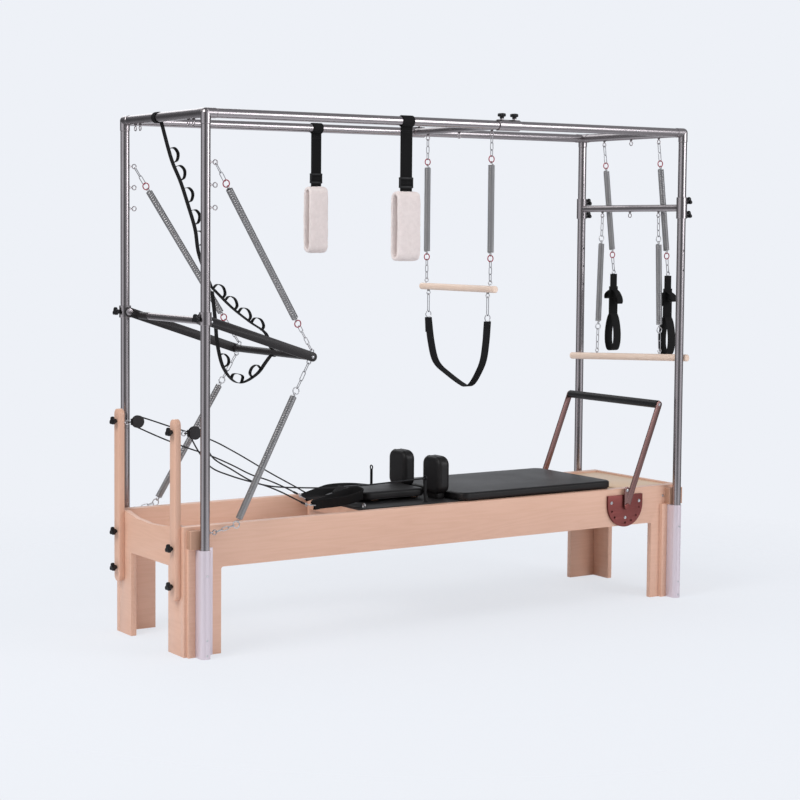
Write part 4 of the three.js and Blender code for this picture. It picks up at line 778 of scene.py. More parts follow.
def make_rules():
    """The node groups: wound coils, heads on points, stitches along lines and tufts on a pile."""
    rule = Rule("wound_coil", [("Turns", "Float", 100.0), ("Radius", "Float", 0.0125),
                               ("Length", "Float", 0.4), ("Wire", "Float", 0.0016)])
    spiral = rule.node(
        "GeometryNodeCurveSpiral", Resolution=12, Rotations=rule.given("Turns"),
        Start_Radius=rule.given("Radius"), End_Radius=rule.given("Radius"), Height=rule.given("Length"))
    ring = rule.node("GeometryNodeCurvePrimitiveCircle", Resolution=7, Radius=rule.given("Wire"))
    tube = rule.node("GeometryNodeCurveToMesh", at0=spiral, Profile_Curve=ring, Fill_Caps=True)
    RULES["coil"] = rule.close(tube)

    rule = Rule("heads_on_points", [("Radius", "Float", 0.005), ("Height", "Float", 0.002),
                                    ("Turn", "Rotation", None)])
    head = rule.node("GeometryNodeMeshCone", Vertices=24, Side_Segments=3,
                     Radius_Top=0.6, Radius_Bottom=1.0, Depth=1.0)
    size = rule.triple(rule.given("Radius"), rule.given("Radius"), rule.given("Height"))
    sized = rule.node("GeometryNodeTransform", Geometry=head, Scale=size)
    RULES["heads"] = rule.close(rule.node(
        "GeometryNodeInstanceOnPoints", Points=rule.given("Geometry"), Instance=sized,
        Rotation=rule.given("Turn")))

    rule = Rule("stitches_on_lines", [("Pitch", "Float", 0.004), ("Thread", "Float", 0.0005)])
    line = rule.node("GeometryNodeMeshToCurve", Mesh=rule.given("Geometry"))
    spaced = rule.node("GeometryNodeResampleCurve", {"mode": "LENGTH"}, Curve=line,
                       Length=rule.given("Pitch"))
    tangent = rule.node("GeometryNodeInputTangent")
    turn = rule.node("FunctionNodeAlignRotationToVector", {"axis": "Z"}, Vector=tangent)
    stitch = rule.node("GeometryNodeMeshUVSphere", Segments=7, Rings=5, Radius=1.0)
    size = rule.triple(rule.given("Thread"), rule.given("Thread"), rule.given("Pitch") * 0.34)
    sized = rule.node("GeometryNodeTransform", Geometry=stitch, Scale=size)
    RULES["stitches"] = rule.close(rule.node(
        "GeometryNodeInstanceOnPoints", Points=spaced, Instance=sized, Rotation=turn))

    rule = Rule("tufts_on_pile", [("Density", "Float", 20000.0), ("Size", "Float", 0.004)])
    points = rule.node("GeometryNodeDistributePointsOnFaces", Mesh=rule.given("Geometry"),
                       Density=rule.given("Density"), Seed=7)
    facing = Signal(rule.tree, points.socket.node.outputs["Rotation"])
    tuft = rule.node("GeometryNodeMeshIcoSphere", Radius=1.0, Subdivisions=1)
    scale = rule.node("FunctionNodeRandomValue", {"data_type": "FLOAT"}, out=1,
                      at2=rule.given("Size") * 0.55, at3=rule.given("Size"), Seed=11)
    many = rule.node("GeometryNodeInstanceOnPoints", Points=points, Instance=tuft,
                     Rotation=facing, Scale=scale)
    both = rule.node("GeometryNodeJoinGeometry", at0=many)
    rule.put(both.socket.node.inputs[0], rule.given("Geometry"))
    RULES["tufts"] = rule.close(both)


def ruled(rule, mesh, finish, **values):
    """The plain mesh that a node group makes of a mesh."""
    rule = RULES[rule]
    holder = placed("rule_holder", mesh)
    modifier = holder.modifiers.new("rule", "NODES")
    modifier.node_group = rule.tree
    for key, value in {**values, "Material": FINISHES[finish]}.items():
        modifier[rule.sockets[key].identifier] = value
    return plain_mesh(holder)


def scattered(points, edges=()):
    mesh = bpy.data.meshes.new("rule_points")
    mesh.from_pydata([tuple(p) for p in points], edges, [])
    return mesh


def heads(name, points, turn, radius, height, finish, body):
    """Equal heads at points, turned by one rotation."""
    mesh = ruled("heads", scattered(points), finish, Radius=radius, Height=height, Turn=tuple(turn.to_euler()))
    return finish_piece(name, mesh, finish, body, sharp=50)


def screws(name, side, points, radius, height, body):
    """Steel heads that face away from the middle of the table."""
    turn = UP.rotation_difference(ACROSS * side)
    return heads(name, points, turn, radius, height, "fittings", body)


def stitches(name, lines, pitch, body, thread=0.0005):
    """Rows of stitches that follow lines."""
    points, edges = [], []
    for line in lines:
        edges += [(len(points) + k, len(points) + k + 1) for k in range(len(line) - 1)]
        points += line
    mesh = ruled("stitches", scattered(points, edges), "thread", Pitch=pitch, Thread=thread)
    return finish_piece(name, mesh, "thread", body, sharp=180)


def coil_spring(form, start, stop, radius=0.0125, wire=0.0017, pitch=0.0034, lead=0.012):
    """A close-wound extension spring between two rings: the coil and a hook at each end."""
    along = (stop - start).normalized()
    length = (stop - start).length - 2 * lead
    turns = float(round(length / pitch))
    wound = ruled("coil", scattered([(0, 0, 0)]), "spring_wire", Turns=turns, Radius=radius, Length=length, Wire=wire)
    turned = UP.rotation_difference(along)
    wound.transform(Matrix.Translation(start + along * lead) @ turned.to_matrix().to_4x4())
    form.add([v.co.copy() for v in wound.vertices], [list(p.vertices) for p in wound.polygons])
    bpy.data.meshes.remove(wound)
    side = turned @ ALONG
    for tip, way in ((start, 1), (stop, -1)):
        path = []
        for k in range(9):
            share = k / 8
            turn = math.pi * share * way
            reach = radius * (1 - share) + HOOK_R * share
            path.append(tip + along * (way * (lead - 0.004 * share)) + side * (reach * math.cos(turn))
                        + along.cross(side) * (reach * math.sin(turn)))
        centre = tip + along * (way * (HOOK_R - RING_WIRE - wire))
        for k in range(11):
            turn = math.radians(20 + 300 * k / 10)
            path.append(centre + along * (way * HOOK_R * math.cos(turn)) - side * (HOOK_R * math.sin(turn)))
        form.sweep(smooth_path(path, 44), round_section(wire, 8))


def hung_spring(name, top, start, stop, bottom, across, bodies, colour="ring_red"):
    """A spring that stretches between two bodies, with its rings and links."""
    rigging(name, top, start, stop, bottom, across, bodies, colour)
    form = Form()
    coil_spring(form, start, stop)
    piece = form.loose(f"{name}_wire", "spring_wire", "spring_steel", [name])
    if bodies[0] == bodies[1]:
        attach(piece, bodies[0])
    else:
        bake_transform(piece)


def strap(form, route, width, thickness, wide, steps, closed=False):
    """A flat strap along a smooth route."""
    form.sweep(smooth_path(route, steps, closed), tape_section(width, thickness), wide, closed)


def between(top, bottom, *heights):
    """Places on a line, at the given heights."""
    return [top.lerp(bottom, (top.z - z) / (top.z - bottom.z)) for z in heights]


def sleeve(form, black, centre, along, out, half, shift):
    """A sleeve on a tube, with two bosses and their clamping knobs."""
    form.lathe(collar(0.0194, 0.024, half), centre, along, 48)
    for end in ENDS:
        spot = centre + along * (end * shift)
        knob(black, spot + out * 0.024, out, along)
        form.lathe(washer(0.0075, 0.029, 0.018), spot, out, 24)


# Frame

def build_bed():
    """Side panels, end boards, standing platform, spring bar and the post spacers, whose darker brown is painted
    shade.
    """
    for side in ENDS:
        dressed(f"side_panel_{SIDE[side]}", "maple_x", "frame", 0.002)
    for end in ENDS:
        dressed(f"{END[end]}_board", "maple_y", "frame", 0.002)
    dressed("standing_platform", "platform_ply", "frame", 0.003)
    form = Form().block(at(0.940, -0.238, 0.4003), at(0.956, 0.238, 0.4403), 0.002)
    for y in SPRING_ROWS:
        form.ring(at(0.9335, y, SPRING_Z), 0.009, 0.0025, ALONG, UP)
    form.make("spring_bar_coat", "black_coat", "frame", "dark_metal", ["spring_bar"])
    # Spacer blocks between posts and panels, in a darker brown than the maple: painted shade where the posts shade
    # the panels.
    form = Form()
    for end in ENDS:
        for side in ENDS:
            form.block(at(end * (POST_X - 0.0253), side * 0.2952, 0.4257),
                       at(end * (POST_X + 0.0523), side * 0.3289, 0.5003), 0.002)
    form.make("post_spacer_painted_shade", "spacer_block", "frame", "dark_metal")
    for side, name in ((-1, "panel_bolts"), (1, "panel_bolts_far")):
        points = [at(end * (POST_X - 0.034), side * 0.2954, 0.463) for end in ENDS]
        screws(name, side, points, 0.006, 0.003, "frame")


def build_sockets():
    """Aluminium sockets: column, webs and the flange on the panel, with their screws."""
    high = SOCKET_HEIGHT
    column = [(0, 0), (0.0212, 0), (SOCKET_R, 0.0008), (SOCKET_R, high - 0.0008), (0.0212, high),
              (0.0194, high), (0.0194, 0.006), (0, 0.006)]
    for end in ENDS:
        for side in ENDS:
            x, y, wall = end * POST_X, side * POST_Y, side * WALL
            form = Form().lathe(column, at(x, y, 0), UP, 48)
            for edge in ENDS:
                form.block(at(x + edge * 0.0178, wall, 0), at(x + edge * 0.022, y, high), 0.0007)
            form.block(at(x + side * 0.022, wall, 0),
                       at(x - side * (SOCKET_R + FLANGE_WIDTH), wall + side * FLANGE, high), 0.0012)
            for shift in (-0.0095, 0.0095):
                ridge = at(x + shift, y + side * 0.0195, 0.0005)
                form.rod(ridge, ridge + UP * (high - 0.001), 0.0016, 10)
            place = f"{END[end]}_{SIDE[side]}"
            form.make(f"socket_{place}", "socket_aluminium", "frame", "aluminium", [f"post_socket_{place}"])
    for side in ENDS:
        face_y, flange_y = side * (POST_Y + SOCKET_R - 0.0006), side * (BED_SIDE + FLANGE + 0.0008)
        spots = [at(end * POST_X, face_y, share * high) for end in ENDS for share in (0.035, 0.175, 0.77)]
        spots += [at(end * POST_X - side * 0.048, flange_y, share * high)
                  for end in ENDS for share in (0.06, 0.5, 0.94)]
        screws(f"socket_screws_{SIDE[side]}", side, spots, 0.0048, 0.0024, "frame")


def build_canopy():
    """Posts with their eyes and collars, rails, end bars and corner elbows."""
    pivot_z, down, black = PUSH_PIVOT[1], -UP, Form()
    for side in ENDS:
        y = side * POST_Y
        for end in ENDS:
            place = f"{END[end]}_{SIDE[side]}"
            form = Form().rod(at(end * POST_X, y, 0.0063), at(end * POST_X, y, 2.0679), TUBE_R, 48, 0.001)
            if end < 0:
                for z in UPPER_EYES + (LOWER_EYE,):
                    eye(form, at(-POST_X, y, z), ALONG, UP, 0.042, TUBE_R)
                pivot, inner = at(-POST_X, y, pivot_z), at(-POST_X, side * 0.3067, pivot_z)
                form.lathe(collar(0.0188, 0.025, 0.025), pivot, UP, 48)
                form.rod(pivot, inner, 0.008, 32)
                form.lathe(PIVOT_HEAD, inner, ACROSS * -side, 32)
            form.make(f"post_{place}_tube", "steel_z", "frame", "steel_tube", [f"post_{place}"])
        form = Form().rod(at(-1.1779, y, CANOPY_Z), at(1.1779, y, CANOPY_Z), TUBE_R, 48, 0.001)
        rail = f"canopy_rail_{SIDE[side]}"
        form.make(f"{rail}_tube", "steel_x", "frame", "steel_tube", [rail])
        knob(black, at(-POST_X - 0.025, y, pivot_z), -ALONG, UP)
    black.make("collar_knobs", "knob_plastic", "frame", "black_plastic")
    ball = [(ELBOW_R * math.sin(math.pi * k / 14), -ELBOW_R * math.cos(math.pi * k / 14)) for k in range(1, 14)]
    for end in ENDS:
        x = end * POST_X
        form = Form().rod(at(x, -POST_Y, CANOPY_Z), at(x, POST_Y, CANOPY_Z), TUBE_R, 48)
        for side in ENDS:
            corner = at(x, side * POST_Y, CANOPY_Z)
            form.lathe([(0, -ELBOW_R), *ball, (0, ELBOW_R)], corner, UP, 48)
            for way in (down, ALONG * -end, ACROSS * -side):
                form.rod(corner, corner + way * ELBOW_REACH, ELBOW_R, 48, 0.0012)
        rows = (-0.25056, -0.2088, 0.2088, 0.25056) if end < 0 else (-STRAP_Y, 0, STRAP_Y)
        for y in rows:
            eye(form, at(x, y, CANOPY_Z), down, ACROSS if end < 0 else ALONG, 0.036, TUBE_R)
        form.make(f"end_bar_{END[end]}", "steel_y", "frame", "steel_tube", [f"canopy_end_bar_{END[end]}"])
    # Flat black discs on the posts paint the shade inside the pin holes.
    holes = [at(POST_X, -POST_Y - TUBE_R + 0.0001, z) for z in (1.580, 1.492)]
    holes += [at(POST_X, POST_Y - TUBE_R + 0.0001, z) for z in (1.583, 1.498, 1.411)]
    turn = UP.rotation_difference(-ACROSS)
    heads("post_pin_hole_shade", holes, turn, 0.0042, 0.0008, "knob_plastic", "frame")
    screws("rail_pin", -1, [at(0.930, -POST_Y - TUBE_R, CANOPY_Z)], 0.004, 0.003, "frame")


def build_quadrants():
    """Twin half-moon plates that hold the foot bar's pivots and its height holes."""
    (px, pz), radius, low = FOOT_PIVOT, 0.101, 0.441
    middle = px + BED_SHIFT
    outline = [(middle - radius, 0.484)] + arc((middle, low), radius, 180, 360, 40) + [(middle + radius, 0.484)]
    turns = [math.radians(a) for a in (-160, -138, -90, -65, -40, -12)]
    holes = [disc((middle + 0.0828 * math.cos(t), low + 0.0828 * math.sin(t)), 0.005) for t in turns]
    for side in ENDS:
        out, back = ACROSS * side, side * WALL
        form = Form()
        form.plate(outline[::-1], "xz", back, side * 0.003)
        form.plate(outline[::-1], "xz", back + side * 0.008, side * 0.003, holes=holes)
        spots = [at(px + a * radius, back, pz + b * radius) for a, b in ((-0.8, 0.2), (0.8, 0.2), (0, -0.5))]
        for spot in spots:
            form.rod(spot + out * 0.0015, spot + out * 0.0105, 0.008, 24)
        outer = side * (FOOT_ARM_Y + 0.0038)
        form.rod(at(px, back + side * 0.0015, pz), at(px, outer, pz), 0.008, 32)
        form.lathe(PIVOT_HEAD, at(px, outer, pz), out, 32)
        form.make(f"quadrant_{SIDE[side]}", "plate_steel", "frame", "plate", [f"quadrant_plates_{SIDE[side]}"])
        spots = [spot + out * 0.0112 for spot in spots]
        screws(f"quadrant_bolts_{SIDE[side]}", side, spots, 0.0075, 0.003, "frame")


def build_risers():
    """Risers with their knobs and pulley eyes, and the pulley blocks."""
    cheek = [(0, 0), (0.0252, 0), (PULLEY_R, 0.0008), (PULLEY_R, 0.0022), (0.0252, 0.003),
             (0.008, 0.0034), (0, 0.0034)]
    groove = [(0.0034, -0.005), (0.0215, -0.005), (0.022, -0.0045), (0.0174, -0.0028), (0.0168, 0),
              (0.0174, 0.0028), (0.022, 0.0045), (0.0215, 0.005), (0.0034, 0.005)]
    low, high = PULLEY_Z - 0.013, PULLEY_Z + 0.013
    for side in ENDS:
        y, name = side * RISER_Y, SIDE[side]
        outline = arc((y, 0.906), 0.024, 0, 180, 20) + arc((y, 0.242), 0.024, 180, 360, 20)
        board = Form().plate(outline, "yz", -1.3083 + BED_SHIFT, 0.024, 0.0016)
        board.make(f"riser_{name}_board", "maple_z", "frame", "maple", [f"riser_{name}"])
        form = Form().rod(at(-1.290, y, PULLEY_Z), at(-1.266, y, PULLEY_Z), 0.0028, 14)
        form.lathe(washer(0.0085, 0.0012), at(-1.2843, y, PULLEY_Z), ALONG, 24)
        form.ring(at(-1.260, y, PULLEY_Z), EYE_R, EYE_WIRE, ALONG, UP)
        for z in RISER_BOLTS:
            form.lathe(washer(0.0056, 0.006), at(-1.2597, y, z), ALONG, 6)
            form.rod(at(-1.2843, y, z), at(-1.2525, y, z), 0.0038, 14)
        form.make(f"riser_{name}_fittings", "fittings", "frame", "steel_tube")
        form = Form()
        for z in (*RISER_BOLTS, 0.880):
            knob(form, at(-1.3083, y, z), -ALONG, UP)
        form.make(f"riser_{name}_knobs", "knob_plastic", "frame", "black_plastic")
        form = Form()
        for face in ENDS:
            form.lathe(cheek, at(PULLEY_X, y + face * 0.0058, PULLEY_Z), ACROSS * face, 40)
            form.block(at(-1.241, y + face * 0.0058, low), at(-1.225, y + face * 0.0088, high), 0.0006)
        form.rod(at(PULLEY_X, y - 0.0088, PULLEY_Z), at(PULLEY_X, y + 0.0088, PULLEY_Z), 0.003, 16)
        form.block(at(-1.241, y - 0.0088, low), at(-1.238, y + 0.0088, high), 0.0006)
        form.link(at(-1.2565, y, PULLEY_Z), at(-1.2395, y, PULLEY_Z), 0.0075, 0.002, ACROSS)
        form.make(f"pulley_{name}", "black_coat", "frame", "black_plastic", [f"pulley_block_{name}"])
        form = Form().lathe(groove, at(PULLEY_X, y, PULLEY_Z), ACROSS, 44)
        form.make(f"sheave_{name}_wheel", "wheel_hub", f"sheave_{name}", "steel_tube", [f"sheave_{name}"])


# Moving bars

def build_foot_bar():
    """Two flat arms with latch levers, the cross rod and the padded grip."""
    px, pz = FOOT_PIVOT
    lean = math.radians(FOOT_LEAN)
    tx, tz = px + FOOT_LENGTH * math.sin(lean), pz + FOOT_LENGTH * math.cos(lean)
    pivot, tip, latch = ((x + BED_SHIFT, z) for x, z in ((px, pz), (tx, tz), (px, pz + 0.074)))
    hole = [disc(pivot, 0.0084, 24)]
    form = Form()
    for side in ENDS:
        y = side * FOOT_ARM_Y - 0.0035
        form.plate(stadium(pivot, tip, 0.015), "xz", y, 0.007, 0.0012, hole)
        form.plate(stadium(pivot, latch, 0.0148), "xz", y + 0.0004, 0.0062, 0.0012, hole)
    form.rod(at(tx, -FOOT_ARM_Y, tz), at(tx, FOOT_ARM_Y, tz), 0.010, 32)
    form.make("foot_bar_arms", "arm_steel", "foot_bar", "steel_tube", ["foot_bar"])
    profile = [(0.0103, -0.311), (0.0165, -0.3112), (0.018, -0.3095),
               (0.018, 0.3095), (0.0165, 0.3112), (0.0103, 0.311)]
    grip = Form().lathe(profile, at(tx, 0, tz), ACROSS, 48)
    piece = grip.make("foot_bar_padding", "foam_grip", "foot_bar", "vinyl", ["foot_bar_grip"])
    for side in ENDS:
        y = side * (FOOT_ARM_Y + 0.0035)
        spots = [at(tx, y, tz), at(px, y, pz + 0.074)]
        screws(f"foot_bar_screws_{SIDE[side]}", side, spots, 0.0075, 0.003, "foot_bar")


def push_bar_axes():
    """The direction of the push-through bar's arms at rest, and the one square to it."""
    (px, pz), (tx, tz) = PUSH_PIVOT, PUSH_TIP
    direction = Vector((tx - px, 0, tz - pz)).normalized()
    return direction, Vector((-direction.z, 0, direction.x))


def push_eye(side, face, reach=0.0222):
    """A place above or below the end tube of the push-through bar, where its eyes stand."""
    return at(PUSH_TIP[0], side * PUSH_EYE_Y, PUSH_TIP[1]) + push_bar_axes()[1] * (face * reach)


def build_push_bar():
    """Arms, end tube, handle tube and the eyes of the push-through bar."""
    (px, pz), (tx, tz) = PUSH_PIVOT, PUSH_TIP
    direction, square = push_bar_axes()
    pivot = px + BED_SHIFT, pz
    form = Form()
    for side in ENDS:
        form.plate(stadium(pivot, (tx + BED_SHIFT, tz), 0.019), "xz", side * PUSH_ARM_Y - 0.005, 0.010, 0.002,
                   [disc(pivot, 0.0084, 24)])
    form.rod(at(tx, -PUSH_ARM_Y, tz), at(tx, PUSH_ARM_Y, tz), PUSH_TUBE_R, 44)
    hx, hz = px + (tx - px) * 0.09, pz + (tz - pz) * 0.09
    for side in ENDS:
        form.rod(at(hx, side * 0.212, hz), at(hx, side * PUSH_ARM_Y, hz), 0.0152, 44)
    form.make("push_bar_frame", "black_coat", "push_bar", "dark_bar", ["push_bar"])
    handle = Form().rod(at(hx, -0.213, hz), at(hx, 0.213, hz), 0.0148, 44)
    handle.make("push_bar_handle", "steel_y", "push_bar", "steel_tube")
    form = Form()
    for side in ENDS:
        for face in ENDS:
            form.ring(push_eye(side, face), EYE_R, EYE_WIRE, square, direction)
            form.lathe([(0, 0), (0.0065, 0), (0.0065, 0.0014), (0.0052, 0.0026), (0, 0.0026)],
                       push_eye(side, face, 0.0145), square * face, 6)
    form.make("push_bar_eyes", "fittings", "push_bar", "steel_tube")
    for side in ENDS:
        spots = [at(x, side * (PUSH_ARM_Y + 0.005), z) for x, z in ((tx, tz), (hx, hz))]
        screws(f"push_bar_screws_{SIDE[side]}", side, spots, 0.0065, 0.0026, "push_bar")


def build_trapeze():
    """Sliding carrier on the rails, the wooden trapeze bar and its sling."""
    x, bar_z = CARRIER_X, TRAPEZE_BAR_Z
    form, black = Form(), Form()
    for side in ENDS:
        sleeve(form, black, at(x, side * POST_Y, CANOPY_Z), ALONG, UP, 0.056, 0.033)
    form.rod(at(x, -0.3265, CANOPY_Z), at(x, 0.3265, CANOPY_Z), 0.015, 44)
    for y in (-TRAPEZE_EYE_Y, 0, TRAPEZE_EYE_Y):
        eye(form, at(x, y, CANOPY_Z), -UP, ALONG, 0.032, 0.015)
    form.make("trapeze_carrier_tube", "steel_y", "trapeze_carrier", "steel_tube", ["trapeze_carrier"])
    black.make("trapeze_carrier_knobs", "knob_plastic", "trapeze_carrier", "black_plastic")
    bar = Form().rod(at(x, -0.275, bar_z), at(x, 0.275, bar_z), 0.015, 44, 0.003)
    bar.make("trapeze_bar_wood", "dowel_y", "trapeze_bar", "pale_wood", ["trapeze_bar"])
    form = Form()
    for side in ENDS:
        eye(form, at(x, side * TRAPEZE_EYE_Y, bar_z), UP, ALONG, 0.028, 0.015)
        eye(form, at(x, side * SLING_Y, bar_z), -UP, ALONG, 0.028, 0.015)
        top, ring = at(x, side * SLING_Y, 1.387), at(x, side * SLING_Y, 1.276 + RING_R)
        form.ring(ring, RING_R, RING_WIRE, UP, ALONG)
        inner = ring + UP * (RING_R - RING_WIRE - LINK_WIRE)
        form.link(top - UP * LINK_CATCH, inner, LINK_HALF, LINK_WIRE, ACROSS)
    form.make("trapeze_bar_fittings", "fittings", "trapeze_bar", "steel_tube")
    shares = [(-1, 1), (-0.96, 0.7), (-0.88, 0.42), (-0.76, 0.26), (-0.5, 0.04), (-0.34, 0),
              (-0.16, 0.03), (0.3, 0.16), (0.62, 0.27), (0.76, 0.37), (0.9, 0.64), (1, 1)]
    form = Form()
    strap(form, [at(x, SLING_Y * a, 0.986 + 0.290 * b) for a, b in shares], 0.038, 0.0036, ALONG, 160)
    for side in ENDS:
        doubled = [at(x, side * (SLING_Y - 0.0002 - 0.0059 * k / 6), 1.2762 - 0.066 * k / 6) for k in range(7)]
        form.sweep(doubled, tape_section(0.0378, 0.0062), ALONG)
    form.make("sling_webbing", "web_tape", "trapeze_bar", "webbing", ["trapeze_sling"])
    rows, edge = [], ALONG * 0.016
    for side in ENDS:
        low, high = at(x, side * (SLING_Y - 0.0018), 1.214), at(x, side * (SLING_Y + 0.0028), 1.268)
        rows += [[low - edge, high - edge], [low + edge, high + edge]]
        for share in (0, 0.5, 1):
            spot = low.lerp(high, share)
            rows.append([spot - edge, spot + edge])
    stitches("sling_stitches", rows, 0.0036, "trapeze_bar")


def build_height_bar():
    """Height bar on its sleeves and the roll-down bar below it."""
    x, z = POST_X, HEIGHT_Z
    form, black = Form(), Form()
    for side in ENDS:
        sleeve(form, black, at(x, side * POST_Y, z), UP, ALONG, 0.048, 0.031)
    form.rod(at(x, -0.3265, z), at(x, 0.3265, z), 0.016, 44)
    for y in (-HEIGHT_EYE_Y, 0, HEIGHT_EYE_Y):
        eye(form, at(x, y, z), -UP, ALONG, 0.033, 0.016)
    form.make("height_bar_tube", "steel_y", "height_bar", "steel_tube", ["height_bar"])
    black.make("height_bar_knobs", "knob_plastic", "height_bar", "black_plastic")
    along, centre = roll_axis()
    bar = Form().rod(centre - along * 0.362, centre + along * 0.362, 0.016, 44, 0.003)
    bar.make("roll_down_bar_wood", "dowel_y", "roll_down_bar", "pale_wood", ["roll_down_bar"])
    form = Form()
    for side in ENDS:
        eye(form, centre - along * (side * HEIGHT_EYE_Y), UP, ALONG, 0.029, 0.016)
    form.make("roll_down_bar_eyes", "fittings", "roll_down_bar", "steel_tube")


def roll_axis():
    """The roll-down bar's direction and its middle. It hangs a little askew, as in the photo."""
    yaw, tilt = math.radians(6.5), math.radians(2.3)
    along = Vector((math.sin(yaw) * math.cos(tilt), -math.cos(yaw) * math.cos(tilt), math.sin(tilt)))
    return along, at(POST_X, 0, ROLL_Z)


def build_springs():
    """Springs of the push-through bar, the trapeze and the roll-down bar."""
    roll, centre = roll_axis()
    for side in ENDS:
        name = SIDE[side]
        upper, lower = (at(-1.178, side * POST_Y, z) for z in (UPPER_EYES[0], LOWER_EYE))
        for label, top, bottom, lead, body, slack, bodies, colour in (
                ("upper", upper, push_eye(side, 1), 0.110, 0.625, 0, ("frame", "push_bar"), "ring_red"),
                ("lower", push_eye(side, -1), lower, 0.145, 0.562, 0.085, ("push_bar", "frame"), "fittings")):
            along = (bottom + ALONG * slack - top).normalized()
            start = top + along * lead
            stop = start + along * body
            hung_spring(f"{label}_spring_{name}", top, start, stop, bottom, ALONG * -side, bodies, colour)
        top, start, stop, bottom = (at(CARRIER_X, side * TRAPEZE_EYE_Y, z) for z in (2.078, 1.958, 1.561, 1.443))
        hung_spring(f"trapeze_spring_{name}", top, start, stop, bottom, ALONG, ("trapeze_springs", "trapeze_bar"))
        top = at(POST_X, side * HEIGHT_EYE_Y, 1.740)
        bottom = centre - roll * (side * HEIGHT_EYE_Y) + UP * 0.029
        start, stop = between(top, bottom, 1.618, 1.228)
        hung_spring(f"roll_down_spring_{name}", top, start, stop, bottom, ALONG,
                    ("height_bar", "roll_down_bar"), "fittings")


def build_foot_straps():
    """Springs and foot straps that hang behind the height bar."""
    x, loop_top, low = STRAP_X, 1.2775, 1.098
    cuff = [(-0.046, 1.362), (-0.030, 1.378), (0.0, 1.388), (0.026, 1.378), (0.050, 1.340),
            (0.045, 1.322), (0.018, 1.346), (0.0, 1.352), (-0.026, 1.352), (-0.044, 1.346)]
    shares = [(0.03, 0.985), (0.26, 0.93), (0.55, 0.82), (0.82, 0.62), (0.95, 0.40), (0.84, 0.17), (0.42, 0.012)]
    shares += [(-a, b) for a, b in shares[::-1]]
    for side in ENDS:
        name, y = SIDE[side], side * STRAP_Y
        body = f"strap_{name}"
        top, bottom = at(POST_X, y, 2.074), at(x, y, 1.472)
        start, stop = between(top, bottom, 1.962, 1.568)
        hung_spring(f"strap_spring_{name}", top, start, stop, bottom, ALONG, (body, body))
        ring = Form().ring(bottom, EYE_R, 0.0025, UP, ALONG)
        ring.make(f"foot_strap_ring_{name}", "fittings", body, "steel_tube")
        form = Form()
        form.block(at(x - 0.019, y - 0.0032, loop_top - 0.016), at(x + 0.019, y + 0.0032, 1.4635), 0.001)
        form.block(at(x - 0.025, y - 0.0042, loop_top - 0.016), at(x + 0.025, y + 0.0042, 1.404), 0.002)
        strap(form, [at(x, y - side * a, z) for a, z in cuff], 0.034, WEB, ALONG, 60, True)
        route = [at(x, y + a * 0.033, low + 0.002 + b * (loop_top - low)) for a, b in shares]
        strap(form, route, 0.046, 0.0036, ALONG, 90)
        form.make(f"foot_strap_webbing_{name}", "web_tape", body, "webbing", [f"foot_strap_{name}"])
        rows = []
        for face in ENDS:
            out = y + face * 0.0035
            for edge in (-0.0155, 0.0155):
                rows.append([at(x + edge, out, 1.272), at(x + edge, out, 1.340)])
            for z in (1.272, 1.306, 1.340, 1.400, 1.452):
                rows.append([at(x - 0.0155, out, z), at(x + 0.0155, out, z)])
        stitches(f"foot_strap_stitches_{name}", rows, 0.0036, body)


def fleece_pile(path, width, seed):
    """A flat oval of pile round a loop, with shallow waves on its skin."""
    section = []
    for turn in full_turn():
        a, b = math.cos(turn), math.sin(turn)
        section.append((0.47 * width * math.copysign(abs(a) ** 0.45, a), 0.0082 * math.copysign(abs(b) ** 0.7, b)))
    pile = Form().sweep(path, section, ALONG, True)
    mesh = bpy.data.meshes.new("pile")
    mesh.from_pydata(pile.points, [], pile.faces)
    outward(mesh)
    rng = np.random.default_rng(seed)
    waves = [(Vector(rng.uniform(-1, 1, 3)).normalized() * f, rng.uniform(0, 6.28))
             for f in (60, 90, 130, 170, 230, 310)]
    for v in mesh.vertices:
        lift = sum(math.sin(v.co.dot(w) + p) for w, p in waves) / 6
        v.co += v.normal * (0.0016 * lift)
    return ruled("tufts", mesh, "fleece_pile", Density=60000.0, Size=0.0019)


